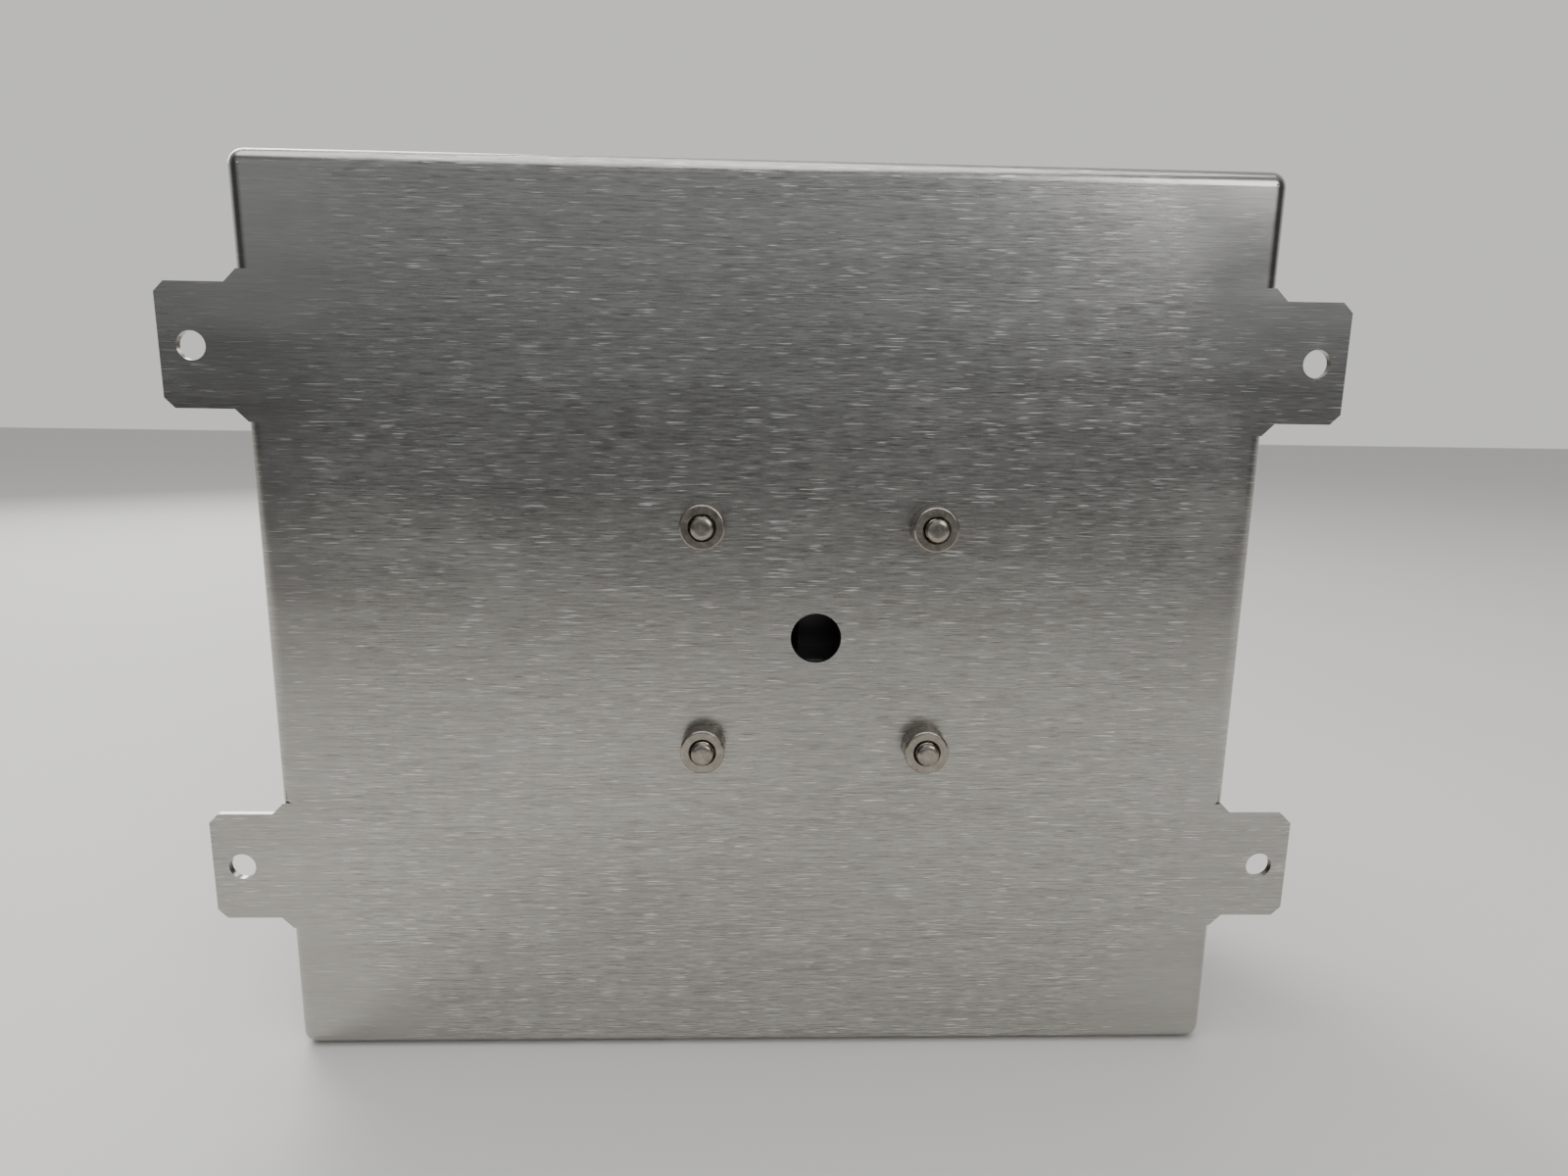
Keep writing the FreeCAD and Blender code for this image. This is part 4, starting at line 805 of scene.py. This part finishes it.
def threaded_screws(node, slot, head, shank, domed, punch):
    """Four screws in a node's places. A head has a radius and a height, a shank a radius, pitch and depth."""
    (head_r, head_h), (major_r, pitch, depth) = head, shank
    low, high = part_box(node)
    length = high.y - low.y - head_h
    blank = carved(screw_blank(node + "_blank", head_r, head_h, major_r, length, pitch, domed), punch)
    values = {
        "Major radius": major_r, "Pitch": pitch, "Depth": depth, "Start": 0.6 * MM, "End": length - 0.4 * MM,
        "Middle": Vector(((low.x + high.x) / 2, low.y + head_h, (low.z + high.z) / 2)),
        "Across": high.x - low.x - 2 * head_r, "Up": high.z - low.z - 2 * head_r, "Finish": FINISHES[slot],
    }
    piece = grown(node + "_rolled", THREAD, values, blank)
    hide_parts(node)
    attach(piece, "housing")


M4 = (2.0 * MM, 0.7 * MM, 0.35 * MM)
M3 = (1.5 * MM, 0.5 * MM, 0.27 * MM)
PAN_HEAD = (4.0 * MM, 2.6 * MM)
COVER_HEAD = (COVER_HEAD_R, 2.2 * MM)
BEZEL_HEAD = (2.85 * MM, 1.65 * MM)
cross = cross_punch(PAN_HEAD[1], 1.9 * MM, 0.75 * MM, 1.5 * MM)
threaded_screws("mechanism_screws", "bright_hardware", PAN_HEAD, M4, False, cross)
socket = socket_punch(COVER_HEAD[1], 2.5 * MM, 0.52 * MM, 1.6 * MM)
threaded_screws("cover_screws", "stainless_screws", COVER_HEAD, M4, True, socket)
socket = socket_punch(BEZEL_HEAD[1], 2.0 * MM, 0.42 * MM, 1.2 * MM)
threaded_screws("bezel_screws", "stainless_screws", BEZEL_HEAD, M3, True, socket)

# %% [markdown]
# ## The studio
# The station stands on a plain pale floor. Bare metal shows what is around it, so the floor and the room get
# dark some way behind it. The back then shows the near floor low down, the dark room in its middle and a
# soft window higher up. An evenly lit room would hide the grain.

# %% Floor, room and lamps
FLOOR_REACH = 4.0
FLOOR_FADE = (0.14, 0.62)  # how far behind the origin the floor starts and ends getting dark


def stage_floor():
    mesh = bpy.data.meshes.new("floor")
    corners = [(-1, -1), (1, -1), (1, 1), (-1, 1)]
    points = [(x * FLOOR_REACH, y * FLOOR_REACH, back_low.z) for x, y in corners]
    mesh.from_pydata(points, [], [(0, 1, 2, 3)])
    floor = bpy.data.objects.new("studio_floor", mesh)
    bpy.context.scene.collection.objects.link(floor)
    material, graph, place = new_finish("pale_floor")
    _, y, _ = graph.parts(place)
    cloud = graph.noise(place, 3.0, 2.0)
    pale = graph.mixed(cloud, shade((0.70, 0.69, 0.66)), shade((0.74, 0.73, 0.70)))
    fading = graph.mixed(graph.ramp(y, *FLOOR_FADE), pale, shade((0.10, 0.10, 0.10)))
    finish_with(graph, fading, 0.55 + cloud * 0.1)
    mesh.materials.append(material)


def soft_lamp(name, place, size, power):
    """A rectangular lamp that is turned to the middle of the station."""
    aim = Vector((0, -0.02, 0))
    light = bpy.data.lights.new(name, "AREA")
    light.shape = "RECTANGLE"
    light.size, light.size_y = size
    light.energy = power
    lamp = bpy.data.objects.new(name, light)
    bpy.context.scene.collection.objects.link(lamp)
    lamp.location = place
    lamp.rotation_euler = (aim - Vector(place)).to_track_quat("-Z", "Y").to_euler()
    lamp.visible_camera = False


def room():
    world = bpy.data.worlds.new("studio_room")
    bpy.context.scene.world = world
    world.use_nodes = True
    graph = Graph(world.node_tree)
    direction = graph.add("ShaderNodeTexCoord")["Generated"]
    across, along, up = graph.parts(direction)
    wall = graph.mixed(graph.ramp(along, -0.5, 0.2), shade((0.80, 0.79, 0.77)), shade((0.085, 0.085, 0.09)))
    window = graph.ramp(along, 0.20, 0.60) * (1 - graph.ramp(abs(across), 0.50, 0.85))
    window = window * graph.ramp(up, -0.05, 0.22) * (1 - graph.ramp(up, 0.45, 0.70))
    lit = graph.mixed(window * 0.50, wall, shade((0.92, 0.96, 1.0)))
    colour = graph.mixed(graph.ramp(up, 0.50, 0.95), lit, shade((0.60, 0.60, 0.60)))
    background = world.node_tree.nodes["Background"]
    graph.feed(background.inputs["Color"], colour)
    background.inputs["Strength"].default_value = 0.9


stage_floor()
room()
soft_lamp("ceiling", (0.1, 0.1, 1.1), (1.2, 1.2), 9.0)
soft_lamp("back_key", (-0.55, 0.75, 0.55), (0.4, 0.5), 2.6)
soft_lamp("front_key", (0.60, -0.80, 0.60), (0.6, 0.6), 8.0)
print("studio ready")

# %% [markdown]
# ## The camera
# The camera stands close behind the station, a little above its middle, and looks slightly down. So close,
# the walls hide behind the back, and the back's upper edge looks wider than its lower one. A camera at rest
# looks down. It is rolled a little about its own line of sight, then raised to just under level, then turned
# about Z to face the back.

# %% Camera
CAMERA_PLACE = (0.0017, 0.1625, 0.0372)
PAN, LOOK_DOWN, ROLL = 178.07, 10.71, 0.85  # in degrees


def look():
    camera = bpy.data.cameras.new("camera")
    camera.lens = 21.6
    camera.sensor_width = 36.0
    camera.clip_start = 0.005
    seen = bpy.data.objects.new("camera", camera)
    bpy.context.scene.collection.objects.link(seen)
    turns = [(PAN, "Z"), (90 - LOOK_DOWN, "X"), (ROLL, "Z")]
    pan, raised, rolled = [Matrix.Rotation(math.radians(angle), 4, axis) for angle, axis in turns]
    seen.matrix_world = Matrix.Translation(CAMERA_PLACE) @ pan @ raised @ rolled
    bpy.context.scene.camera = seen


look()
print("camera at", list(bpy.context.scene.camera.matrix_world.translation))
